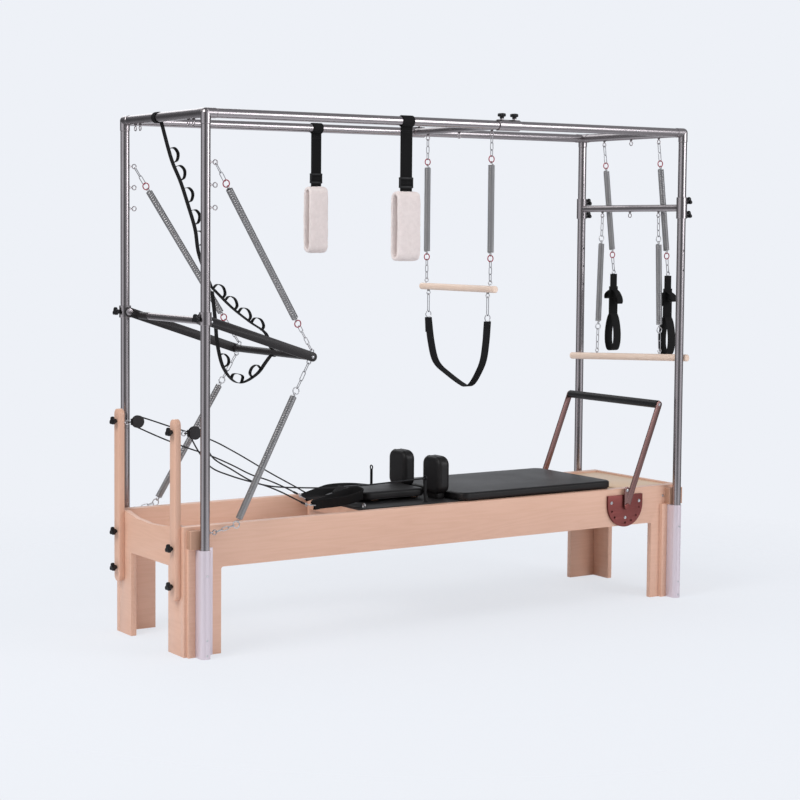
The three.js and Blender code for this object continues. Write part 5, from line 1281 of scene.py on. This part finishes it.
def build_padded_loops():
    """Fleece loops on webbing that is wrapped round the canopy rails."""
    bend = 0.021
    for side, high, low, width, web in ((-1, 1.826, 1.539, 0.118, 0.056), (1, 1.857, 1.563, 0.100, 0.050)):
        name, x, y = f"loop_{SIDE[side]}", LOOP_X, side * POST_Y
        band = wrapped(at(x, y, CANOPY_Z), ACROSS, 0.0221, full_turn())
        form = Form().sweep(band, tape_section(web, 0.003), ALONG, True)
        form.block(at(x - web / 2, y - 0.0034, high - 0.004), at(x + web / 2, y + 0.0034, CANOPY_Z - 0.0212), 0.001)
        form.make(f"padded_loop_webbing_{SIDE[side]}", "web_tape", name, "webbing")
        rows = []
        for face in ENDS:
            out = y + face * 0.0037
            for z in (2.065, 2.072, high + 0.03, high + 0.036):
                rows.append([at(x - web * 0.44, out, z), at(x + web * 0.44, out, z)])
            for edge in (-0.42, 0.42):
                rows.append([at(x + edge * web, out, 2.072), at(x + edge * web, out, high + 0.036)])
        stitches(f"padded_loop_stitches_{SIDE[side]}", rows, 0.0042, name, 0.0006)
        buckle, reach = Form(), web / 2 + 0.005
        for z in (high + 0.016, high + 0.052):
            buckle.block(at(x - reach, y - 0.0062, z - 0.004), at(x + reach, y + 0.0062, z + 0.004), 0.002)
        for edge in ENDS:
            buckle.block(at(x + edge * (web / 2 + 0.0005), y - 0.0052, high + 0.014),
                         at(x + edge * reach, y + 0.0052, high + 0.054), 0.002)
        buckle.make(f"padded_loop_buckle_{SIDE[side]}", "knob_plastic", name, "black_plastic")
        route = [at(x, y + bend * math.cos(t), high - 0.010 - bend + bend * math.sin(t))
                 for t in np.linspace(0, math.pi, 9)]
        route += [at(x, y + bend * math.cos(t), low + 0.010 + bend + bend * math.sin(t))
                  for t in np.linspace(math.pi, 2 * math.pi, 9)]
        fleece = fleece_pile(smooth_path(route, 84, True), width, 23 + side)
        piece = finish_piece(f"padded_loop_fleece_{SIDE[side]}", fleece, "fleece_pile", name,
                             [f"padded_loop_{SIDE[side]}"], 180)


# Carriage

def build_carriage():
    """Carriage deck and beams, wheels, springs, cleats and rope posts."""
    head, foot = DECK_ENDS
    deck = Form().block(at(head, -0.238, 0.5015), at(foot, 0.238, DECK_TOP), 0.0025)
    deck.make("carriage_deck", "deck_board", "carriage", "dark_metal", ["carriage_frame"])
    form = Form()
    for side in ENDS:
        form.block(at(head, side * 0.196 - 0.008, 0.4095), at(foot, side * 0.196 + 0.008, 0.502), 0.002)
    for x in (head, foot - 0.016):
        form.block(at(x, -0.190, 0.4555), at(x + 0.016, 0.190, 0.502), 0.002)
    form.rod(at(0.360, -0.192, SPRING_Z), at(0.360, 0.192, SPRING_Z), 0.009, 28)
    for x in (-0.254, -0.048):
        form.block(at(x, -0.059, 0.512), at(x + 0.036, 0.059, 0.5232), 0.002)
    form.make("carriage_beams", "maple_y", "carriage", "maple")
    form, black = Form(), Form()
    for side in ENDS:
        y = side * ROPE_POST_Y
        black.lathe([(0, 0), (0.0105, 0), (0.0105, 0.0035), (0.0068, 0.005), (0.006, 0.006),
                     (0.006, 0.096), (0, 0.096)], at(-0.080, y, DECK_TOP - 0.0004), UP, 28)
        black.ring(at(-0.080, y, 0.6165), EYE_R, 0.0028, ACROSS, UP)
        form.ring(at(-0.391, y, 0.520), 0.009, 0.0025, ACROSS, UP)
        form.lathe(washer(0.008, 0.0015), at(-0.391, y, DECK_TOP - 0.0003), UP, 24)
    form.make("rope_cleats", "fittings", "carriage", "steel_tube")
    black.make("rope_posts", "knob_plastic", "carriage", "black_plastic")
    tyre = [(0.0068, -0.0078), (0.0262, -0.008), (0.028, -0.0062), (0.028, 0.0062), (0.0262, 0.008), (0.0068, 0.0078)]
    for name, x in (("head", -0.300), ("foot", 0.840)):
        axle = Form().rod(at(x, -0.246, AXLE_Z), at(x, 0.246, AXLE_Z), 0.006, 24)
        axle.make(f"axle_{name}", "fittings", f"wheels_{name}", "steel_tube")
        form = Form()
        for side in ENDS:
            form.lathe(tyre, at(x, side * 0.236, AXLE_Z), ACROSS, 48)
        form.make(f"tyres_{name}", "tyre", f"wheels_{name}", "black_plastic", [f"wheel_axle_{name}"])
    for row, y in enumerate(SPRING_ROWS):
        form = Form()
        coil_spring(form, at(0.372, y, SPRING_Z), at(0.812, y, SPRING_Z), 0.0122, 0.0017, 0.0034, 0.02)
        form.make(f"carriage_spring_{row + 1}", "spring_wire", "carriage", "spring_steel",
                  ["carriage_springs"] if not row else ())
    carrier = Form().block(at(0.3693, -0.180, 0.4078), at(0.3853, 0.180, 0.4328), 0.002)
    carrier.make("spring_carrier", "black_coat", "carriage", "dark_metal")


def eased_steps(count, ease=0.82):
    """Stations from -1 to 1, closer together towards both ends."""
    return [(1 - ease) * t + ease * math.sin(t * math.pi / 2) for t in np.linspace(-1, 1, count + 1)]


class Cushion:
    """A stuffed pad: rounded outline, sides that curve in at the seams, and a crown."""

    def __init__(self, middle, half, corner, edge, crown=0.0, dimple=0.0, face=None):
        self.middle, self.half, self.face = middle, Vector(half), face
        self.corner, self.edge, self.crown, self.dimple = corner, edge, crown, dimple

    def spot(self, u, v, w):
        """The place of a point of the cube from -1 to 1 on the pad's skin."""
        hx, hy, hz = self.half
        over = max(0.0, abs(w) * hz - (hz - self.edge)) / self.edge
        inset = self.edge * (1 - math.sqrt(max(0.0, 1 - over * over)))
        hx, hy = hx - inset, hy - inset
        x, y = u * hx, v * hy
        corner = max(self.corner - inset, 0.001)
        ox, oy = abs(x) - (hx - corner), abs(y) - (hy - corner)
        if ox > 0 and oy > 0:
            far = math.hypot(ox, oy)
            reach = max(ox, oy)
            x = math.copysign(hx - corner + ox * reach / far, x)
            y = math.copysign(hy - corner + oy * reach / far, y)
        z = w * hz
        if w > 0:
            rise = self.crown * max(0.0, 1 - abs(u) ** 3.2) * max(0.0, 1 - abs(v) ** 3.2)
            waves = math.sin(u * 5.1 + 0.7) * math.sin(v * 4.3 + 0.4) * (1 - u ** 4) * (1 - v ** 4)
            z += (rise + self.dimple * waves) * w ** 2
        place = Vector((x, y, z))
        return self.middle + (self.face @ place if self.face else place)

    def shell(self, *counts):
        """The closed skin, as a form."""
        mesh = bmesh.new()
        nx, ny, nz = counts
        steps = [eased_steps(nx), eased_steps(ny), list(np.linspace(-1, 1, nz + 1))]
        seen = {}

        def vertex(key):
            if key not in seen:
                seen[key] = mesh.verts.new(self.spot(*(row[k] for row, k in zip(steps, key))))
            return seen[key]

        for fixed, one, two in ((2, 0, 1), (1, 0, 2), (0, 1, 2)):
            for level in (0, counts[fixed]):
                for i in range(counts[one]):
                    for j in range(counts[two]):
                        corners = []
                        for a, b in ((0, 0), (1, 0), (1, 1), (0, 1)):
                            key = [level] * 3
                            key[one], key[two] = i + a, j + b
                            corners.append(vertex(tuple(key)))
                        mesh.faces.new(corners)
        return Form().take(mesh)

    def seam(self, w, count=64):
        """Places round the outline at one height."""
        lap = [(t, -1) for t in np.linspace(-1, 1, count + 1)[:-1]]
        lap += [(1, t) for t in np.linspace(-1, 1, count // 2 + 1)[:-1]]
        lap += [(-u, -v) for u, v in lap]
        places = [self.spot(u, v, w) for u, v in lap]
        steps = max(80, int(length_of(places) / 0.012))
        return smooth_path(places, steps, True)


def piped(cushion, counts, seams):
    """A cushion's shell with piping along its seams."""
    form = cushion.shell(*counts)
    for w in seams:
        form.sweep(cushion.seam(w), round_section(0.0013, 6), None, True)
    return form


def build_upholstery():
    """Carriage pad, headrest and shoulder rests, crowned, with piped seams."""
    for name, body, cushion, seams, counts in (
            ("carriage_pad", "carriage", Cushion(at(0.490, 0, 0.5306), (0.4205, 0.269, 0.0168), 0.045, 0.0105,
                                                 0.004, 0.0007), (0.62, -0.72), (96, 64, 14)),
            ("headrest", "headrest", Cushion(at(-0.169, 0, 0.5413), (0.1563, 0.1173, 0.0178), 0.035, 0.012,
                                             0.004, 0.0007), (0.62, -0.68), (48, 40, 14))):
        form = piped(cushion, counts, seams)
        piece = form.make(f"{name}_upholstery", "pad_vinyl", body, "vinyl", [name], 60)
        row = [p - UP * 0.0034 for p in cushion.seam(seams[0])]
        stitches(f"{name}_stitches", [row + row[:1]], 0.0042, body, 0.0004)
    face = Matrix(((0, 0, -1), (0, 1, 0), (1, 0, 0)))
    for side in ENDS:
        y, name = side * REST_Y, f"shoulder_rest_{SIDE[side]}"
        cushion = Cushion(at(0.030, y, 0.61643), (0.0804, 0.0645, 0.0296), 0.038, 0.016, face=face)
        form = piped(cushion, (40, 32, 14), (0.5, -0.5))
        form.block(at(0.0125, y - 0.038, 0.5141), at(0.0475, y + 0.038, 0.556), 0.002)
        piece = form.make(f"{name}_upholstery", "pad_vinyl", "carriage", "vinyl", [name], 60)


# Routes of straps and ropes, in millimetres on the bed
LADDER_MAIN = [(-1165, 34, 1937), (-1131, 28, 1858), (-1098, 22, 1760), (-1070, 16, 1666), (-1056, 10, 1567),
               (-1002, 4, 1431)]
LADDER_UPPER = [(-1002, 0, 1431), (-905, 0, 1345), (-820, 0, 1285), (-747, 0, 1237)]
LADDER_LOWER = [(-745, 0, 1120), (-790, 0, 1070), (-877, 0, 1037), (-940, 0, 1090), (-974, 0, 1194),
                (-985, 0, 1298), (-1000, 0, 1415)]


def in_metres(route):
    return [at(x / 1000, y / 1000, z / 1000) for x, y, z in route]


def build_ladder_strap():
    """The safety strap from the head end bar down to the push-through bar."""
    width, bar = 0.030, at(-POST_X, 0.054, CANOPY_Z)
    form = Form().sweep(wrapped(bar, ALONG, 0.0212, full_turn()), tape_section(width, WEB), ACROSS, True)
    start = wrapped(at(-POST_X, 0.048, CANOPY_Z), ALONG, 0.0212, [math.radians(-51.6)])
    main = start + in_metres(LADDER_MAIN)
    upper, lower = in_metres(LADDER_UPPER), in_metres(LADDER_LOWER)
    strap(form, main, width, WEB, ACROSS, 90)
    tip = at(PUSH_TIP[0], 0, PUSH_TIP[1])
    hook = wrapped(tip, ALONG, 0.0172, [math.radians(a) for a in range(115, -126, -20)])
    strap(form, upper + hook + lower, width, WEB, ACROSS, 200)
    for route, steps, spots, way in ((main, 90, (0.2, 0.32, 0.45, 0.58, 0.71), 1),
                                     (upper, 60, (0.12, 0.36, 0.6, 0.84), 1),
                                     (lower, 80, (0.12, 0.3, 0.5), -1)):
        path = smooth_path(route, steps)
        for share in spots:
            k = int(share * (len(path) - 1))
            reach = max(2, round(0.030 / (length_of(path) / len(path))))
            foot, head = path[min(k + reach, len(path) - 1)], path[max(k - reach, 0)]
            along = (head - foot).normalized()
            out = along.cross(ACROSS).normalized() * -way
            if out.x < 0 and way > 0:
                out = -out
            ear = [foot + along * 0.002, foot + out * 0.020 + along * 0.004, path[k] + out * 0.036,
                   head + out * 0.026 - along * 0.006, head - along * 0.002]
            strap(form, ear, 0.024, 0.0022, ACROSS, 24)
    webbing = form.loose("ladder_strap_webbing", "web_tape", "webbing", ["ladder_strap"])
    rows = [[p + Vector((face, edge, 0)) for p in smooth_path(main, 90)[2:14]]
            for face in (0.0017, -0.0017) for edge in (-0.012, 0.012)]
    sewn = stitches("ladder_strap_stitches", rows, 0.0036, None)
    for piece in (webbing, sewn):
        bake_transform(piece)


HAND_LOOPS = [
    [(-590, -128, 533.8), (-545, -124, 534.8), (-480, -150, 541.8), (-420, -160, 551.8), (-360, -146, 562.8),
     (-342, -110, 566.8), (-352, -66, 564.8), (-420, -60, 550.8), (-490, -84, 539.8), (-550, -108, 533.8)],
    [(-520, 62, 534.8), (-470, 95, 537.8), (-400, 122, 546.8), (-330, 150, 552.8), (-200, 176, 546.8),
     (-110, 168, 534.8), (-120, 138, 534.8), (-300, 134, 546.8), (-352, 70, 560.8), (-366, 0, 562.8),
     (-400, -34, 556.8), (-444, -22, 546.8), (-484, 30, 538.8)],
]
HOOK_ENDS = [(-638, -146, 535.8), (-539, 68, 542.8)]


def build_hand_loops():
    """The two hand loops thrown across the head of the carriage, with their snap hooks."""
    webs, hooks = Form(), Form()
    for route, end in zip(HAND_LOOPS, HOOK_ENDS):
        places = [place - UP * 0.006 for place in in_metres(route)]
        turning = sum(a.x * b.y - a.y * b.x for a, b in zip(places, places[1:] + places[:1]))
        ahead = (places[1] - places[-1]).normalized()
        outward = ahead.cross(UP).normalized() * math.copysign(1, turning)
        strap(webs, places, 0.044, 0.0046, UP * 0.62 + outward * 0.78, 170, True)
        tip, root = in_metres([end])[0], places[0]
        along = (root - tip).normalized()
        across = along.cross(UP).normalized()
        hooks.ring(root - along * 0.006, 0.0125, 0.0022, along, across)
        hooks.link(root - along * 0.016, tip + along * 0.008, 0.0075, 0.0021, across)
        hooks.ring(tip + along * 0.004, 0.0062, 0.0022, along, UP)
        hooks.rod(root - along * 0.022, root - along * 0.014, 0.0048, 20)
    webs.make("hand_loop_webbing", "web_tape", "carriage", "webbing", ["hand_loops"])
    hooks.make("hand_loop_hooks", "fittings", "carriage", "steel_tube")


# The first turn on the sheave and its step, in degrees, then the route before it and the one after it
ROPES = {
    "near": (34, 29.5, [(-72, -207, 615), (-250, -212, 611), (-400, -218, 608), (-539, -223, 609),
                        (-684, -227, 618), (-851, -231, 636), (-952, -235, 662), (-1045, -240, 692),
                        (-1136, -244, 732), (-1190, -247, 792)],
             [(-1164, -246, 830), (-1130, -242, 772), (-1031, -222, 714), (-930, -200, 660),
              (-845, -182, 630), (-776, -171, 602), (-700, -158, 566), (-644, -148, 538.8)]),
    "far": (70, 29, [(-380, 207, 520), (-410, 210, 523), (-468, 213, 554), (-601, 220, 627), (-764, 229, 722),
                     (-877, 235, 780), (-1060, 245, 843)],
            [(-1182, 247, 834), (-1100, 234, 796), (-1010, 204, 758), (-914, 163, 721), (-829, 142, 681),
             (-744, 120, 636), (-673, 102, 610), (-602, 84, 577), (-545, 70, 545.8)]),
}


def build_ropes():
    """The hauling ropes: from the carriage round the sheaves and back to the hand loops."""
    for side in ENDS:
        name = SIDE[side]
        first, step, fixed, free = ROPES[name]
        turns = [math.radians(first + (6 - k) * step) for k in range(7)]
        wrap = [(PULLEY_X * 1000 + 21.2 * math.cos(t), side * RISER_Y * 1000, PULLEY_Z * 1000 + 21.2 * math.sin(t))
                for t in turns]
        route = in_metres(fixed + (wrap if side < 0 else wrap[::-1]) + free)
        path = smooth_path(route, 300)
        form = Form().sweep(path, round_section(0.003, 12), ACROSS)
        piece = form.loose(f"rope_{name}_braid", "rope_braid", "rope", [f"rope_{name}"])
        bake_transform(piece)
        whip = Form()
        for tip, inner in ((path[-1], path[-12]), (path[0], path[8])):
            along = (inner - tip).normalized()
            whip.lathe([(0.0034, 0.002), (0.0046, 0.003), (0.0046, 0.022), (0.0034, 0.023)], tip, along, 20)
        ends = whip.make(f"rope_{name}_ferrules", "knob_plastic", "carriage", "rope")


# Camera and stage

def place_camera():
    """The camera of the photo."""
    data = bpy.data.cameras.new("photo_camera")
    data.lens, data.sensor_width = 84.815, 36.0
    data.shift_x, data.shift_y = 0.1, -0.0625
    data.clip_start, data.clip_end = 0.1, 200.0
    yaw, pitch, roll = 0.55905, -0.06438, 0.00577
    ahead = Vector((math.sin(yaw) * math.cos(pitch), math.cos(yaw) * math.cos(pitch), math.sin(pitch)))
    right = Vector((math.cos(yaw), -math.sin(yaw), 0))
    top = right.cross(ahead)
    turned = right * math.cos(roll) + top * math.sin(roll)
    raised = top * math.cos(roll) - right * math.sin(roll)
    camera = placed("photo_camera", data)
    basis = Matrix((turned, raised, -ahead)).transposed().to_4x4()
    camera.matrix_world = Matrix.Translation((-4.66878, -6.71219, 1.67146)) @ basis
    bpy.context.scene.camera = camera


def area_light(name, place, target, size, power, colour):
    data = bpy.data.lights.new(name, "AREA")
    data.shape, data.size, data.energy, data.color = "DISK", size, power, colour
    lamp = placed(name, data)
    lamp.location = place
    lamp.rotation_euler = (Vector(target) - Vector(place)).to_track_quat("-Z", "Y").to_euler()
    return lamp


def make_surround(ambient):
    """The world: an even light, and the screens that the camera and shiny surfaces see instead."""
    world = bpy.data.worlds.new("surround")
    bpy.context.scene.world = world
    world.use_nodes = True
    nodes = Nodes(world.node_tree)
    nodes.tree.nodes.clear()
    east, north, height = nodes.split(nodes.node("ShaderNodeTexCoord", out="Generated"))
    level = 1 - height * height
    screens = (1 - (north.angle(east) * 3 + 1.822).sine()) * 0.5 * level * level
    overhead = height * height * level * 1.5
    strength = nodes.seen_by("Camera").larger(screens.larger(overhead) * 0.9 + 0.1)
    even = nodes.node("ShaderNodeBackground", Color=(0.93, 0.96, 1.0, 1.0), Strength=ambient)
    shown = nodes.node("ShaderNodeBackground", Color=tint("EEF1F7"), Strength=strength)
    rays = nodes.seen_by("Camera", "Glossy", "Transmission")
    output = nodes.tree.nodes.new("ShaderNodeOutputWorld")
    nodes.put(output.inputs[0], nodes.node("ShaderNodeMixShader", at0=rays, at1=even, at2=shown))


def make_floor():
    """A round sheet of pale paper that glows a little and fades into the backdrop."""
    mesh = bpy.data.meshes.new("floor")
    mesh.from_pydata([(x, y, 0) for x, y in disc((0, 0), 9.0, 60)], [], [list(range(60))])
    recipe = Recipe("floor_paper")
    x, y, _ = recipe.split(recipe.point())
    far = (x * x + y * y) ** 0.5
    recipe.set(Base_Color=tint("F0F3F8"), Roughness=0.9)
    paper = Signal(recipe.tree, recipe.shader.outputs[0])
    glow = recipe.node("ShaderNodeEmission", Color=tint("EEF1F7"), Strength=0.98)
    even = recipe.node("ShaderNodeMixShader", at0=recipe.seen_by("Camera", "Glossy") * 0.75, at1=paper, at2=glow)
    clear = recipe.node("ShaderNodeBsdfTransparent")
    faded = recipe.node("ShaderNodeMixShader", at0=((3.6 - far) * 0.55).clamped(), at1=clear, at2=even)
    recipe.put(recipe.output.inputs[0], faded)
    mesh.materials.append(recipe.material)
    return placed("floor", mesh)


def build_stage(looks):
    """The surround, the floor and the soft lights."""
    bpy.context.scene.view_settings.view_transform = "Standard"
    make_surround(looks.ambient)
    floor, power = make_floor(), looks.key_power
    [area_light(name, place, (0, 0, aim), size, power * share, colour)
                      for name, place, aim, size, share, colour in LIGHTS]


class TrapezeTableLooks(bpy.types.PropertyGroup):
    """Colours and light of the table."""
    maple_colour: bpy.props.FloatVectorProperty(
        name="Maple", description="Colour of the bed's lacquered maple", subtype="COLOR", size=3,
        min=0.0, max=1.0, default=tint("E4B9A3")[:3])
    platform_colour: bpy.props.FloatVectorProperty(
        name="Platform", description="Colour of the standing platform's paler board", subtype="COLOR", size=3,
        min=0.0, max=1.0, default=tint("E4C7AA")[:3])
    steel_roughness: bpy.props.FloatProperty(
        name="Steel roughness", description="Roughness of the polished tubes", subtype="FACTOR",
        min=0.05, max=0.8, default=0.22)
    key_power: bpy.props.FloatProperty(
        name="Key light", description="Power of the key light", unit="POWER", min=0.0, default=225.0)
    ambient: bpy.props.FloatProperty(
        name="Surround light", description="Strength of the even light from all round", min=0.0, default=0.66)


class TRAPEZE_OT_finishes(bpy.types.Operator):
    """Makes the materials and the node groups."""
    bl_idname = "trapeze.finishes"
    bl_label = "Finishes"

    def execute(self, context):
        make_finishes(context.scene.trapeze_table)
        make_rules()
        return {"FINISHED"}


class TRAPEZE_OT_camera(bpy.types.Operator):
    """Places the camera of the photo."""
    bl_idname = "trapeze.camera"
    bl_label = "Camera"

    def execute(self, context):
        place_camera()
        return {"FINISHED"}


class TRAPEZE_OT_ropes(bpy.types.Operator):
    """Builds the two hauling ropes."""
    bl_idname = "trapeze.ropes"
    bl_label = "Hauling ropes"

    def execute(self, context):
        build_ropes()
        return {"FINISHED"}


class TRAPEZE_OT_bed(bpy.types.Operator):
    """Builds side panels, end boards, platform and spring bar."""
    bl_idname = "trapeze.bed"
    bl_label = "Wooden bed"

    def execute(self, context):
        build_bed()
        return {"FINISHED"}


class TRAPEZE_OT_sockets(bpy.types.Operator):
    """Builds the aluminium post sockets."""
    bl_idname = "trapeze.sockets"
    bl_label = "Post sockets"

    def execute(self, context):
        build_sockets()
        return {"FINISHED"}


class TRAPEZE_OT_canopy(bpy.types.Operator):
    """Builds posts, rails, end bars and elbows."""
    bl_idname = "trapeze.canopy"
    bl_label = "Canopy"

    def execute(self, context):
        build_canopy()
        return {"FINISHED"}


class TRAPEZE_OT_quadrants(bpy.types.Operator):
    """Builds the foot bar's quadrant plates."""
    bl_idname = "trapeze.quadrants"
    bl_label = "Quadrant plates"

    def execute(self, context):
        build_quadrants()
        return {"FINISHED"}


class TRAPEZE_OT_risers(bpy.types.Operator):
    """Builds risers, knobs, pulley blocks and sheaves."""
    bl_idname = "trapeze.risers"
    bl_label = "Risers and pulleys"

    def execute(self, context):
        build_risers()
        return {"FINISHED"}


class TRAPEZE_OT_foot_bar(bpy.types.Operator):
    """Builds the foot bar and its grip."""
    bl_idname = "trapeze.foot_bar"
    bl_label = "Foot bar"

    def execute(self, context):
        build_foot_bar()
        return {"FINISHED"}


class TRAPEZE_OT_push_bar(bpy.types.Operator):
    """Builds the push-through bar."""
    bl_idname = "trapeze.push_bar"
    bl_label = "Push-through bar"

    def execute(self, context):
        build_push_bar()
        return {"FINISHED"}


class TRAPEZE_OT_trapeze(bpy.types.Operator):
    """Builds the carrier, trapeze bar and sling."""
    bl_idname = "trapeze.trapeze"
    bl_label = "Trapeze"

    def execute(self, context):
        build_trapeze()
        return {"FINISHED"}


class TRAPEZE_OT_height_bar(bpy.types.Operator):
    """Builds the height bar and the roll-down bar."""
    bl_idname = "trapeze.height_bar"
    bl_label = "Height bar"

    def execute(self, context):
        build_height_bar()
        return {"FINISHED"}


class TRAPEZE_OT_springs(bpy.types.Operator):
    """Builds the springs that stretch between two bodies."""
    bl_idname = "trapeze.springs"
    bl_label = "Springs"

    def execute(self, context):
        build_springs()
        return {"FINISHED"}


class TRAPEZE_OT_foot_straps(bpy.types.Operator):
    """Builds the foot straps and their springs."""
    bl_idname = "trapeze.foot_straps"
    bl_label = "Foot straps"

    def execute(self, context):
        build_foot_straps()
        return {"FINISHED"}


class TRAPEZE_OT_padded_loops(bpy.types.Operator):
    """Builds the fleece loops on the rails."""
    bl_idname = "trapeze.padded_loops"
    bl_label = "Padded loops"

    def execute(self, context):
        build_padded_loops()
        return {"FINISHED"}


class TRAPEZE_OT_carriage(bpy.types.Operator):
    """Builds deck, beams, wheels and carriage springs."""
    bl_idname = "trapeze.carriage"
    bl_label = "Carriage"

    def execute(self, context):
        build_carriage()
        return {"FINISHED"}


class TRAPEZE_OT_upholstery(bpy.types.Operator):
    """Builds the pads and their seams."""
    bl_idname = "trapeze.upholstery"
    bl_label = "Upholstery"

    def execute(self, context):
        build_upholstery()
        return {"FINISHED"}


class TRAPEZE_OT_ladder_strap(bpy.types.Operator):
    """Builds the safety strap of the push-through bar."""
    bl_idname = "trapeze.ladder_strap"
    bl_label = "Ladder strap"

    def execute(self, context):
        build_ladder_strap()
        return {"FINISHED"}


class TRAPEZE_OT_hand_loops(bpy.types.Operator):
    """Builds the hand loops and their hooks."""
    bl_idname = "trapeze.hand_loops"
    bl_label = "Hand loops"

    def execute(self, context):
        build_hand_loops()
        return {"FINISHED"}


class TRAPEZE_OT_stage(bpy.types.Operator):
    """Builds the floor, the lights and the surround."""
    bl_idname = "trapeze.stage"
    bl_label = "Stage"

    def execute(self, context):
        build_stage(context.scene.trapeze_table)
        return {"FINISHED"}


STEPS = (
    TRAPEZE_OT_finishes,
    TRAPEZE_OT_camera,
    TRAPEZE_OT_ropes,
    TRAPEZE_OT_bed,
    TRAPEZE_OT_sockets,
    TRAPEZE_OT_canopy,
    TRAPEZE_OT_quadrants,
    TRAPEZE_OT_risers,
    TRAPEZE_OT_foot_bar,
    TRAPEZE_OT_push_bar,
    TRAPEZE_OT_trapeze,
    TRAPEZE_OT_height_bar,
    TRAPEZE_OT_springs,
    TRAPEZE_OT_foot_straps,
    TRAPEZE_OT_padded_loops,
    TRAPEZE_OT_carriage,
    TRAPEZE_OT_upholstery,
    TRAPEZE_OT_ladder_strap,
    TRAPEZE_OT_hand_loops,
    TRAPEZE_OT_stage,
)


class TRAPEZE_PT_table(bpy.types.Panel):
    """The table's steps and looks, in the sidebar."""
    bl_idname = "TRAPEZE_PT_table"
    bl_label = "Trapeze Table"
    bl_space_type = "VIEW_3D"
    bl_region_type = "UI"
    bl_category = "Trapeze Table"

    def draw(self, context):
        """Lists the looks and one button for each step."""
        for key in TrapezeTableLooks.__annotations__:
            self.layout.prop(context.scene.trapeze_table, key)
        for step in STEPS:
            self.layout.operator(step.bl_idname)


def register():
    for cls in (TrapezeTableLooks, *STEPS, TRAPEZE_PT_table):
        bpy.utils.register_class(cls)
    bpy.types.Scene.trapeze_table = bpy.props.PointerProperty(
        type=TrapezeTableLooks, name="Trapeze Table", description="Colours and light of the table")


def unregister():
    del bpy.types.Scene.trapeze_table
    for cls in (TRAPEZE_PT_table, *reversed(STEPS), TrapezeTableLooks):
        bpy.utils.unregister_class(cls)


def main():
    """Builds the table step by step."""
    register()
    for step in STEPS:
        getattr(bpy.ops.trapeze, step.bl_idname.partition(".")[2])()
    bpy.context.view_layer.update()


if __name__ == "__main__":
    main()
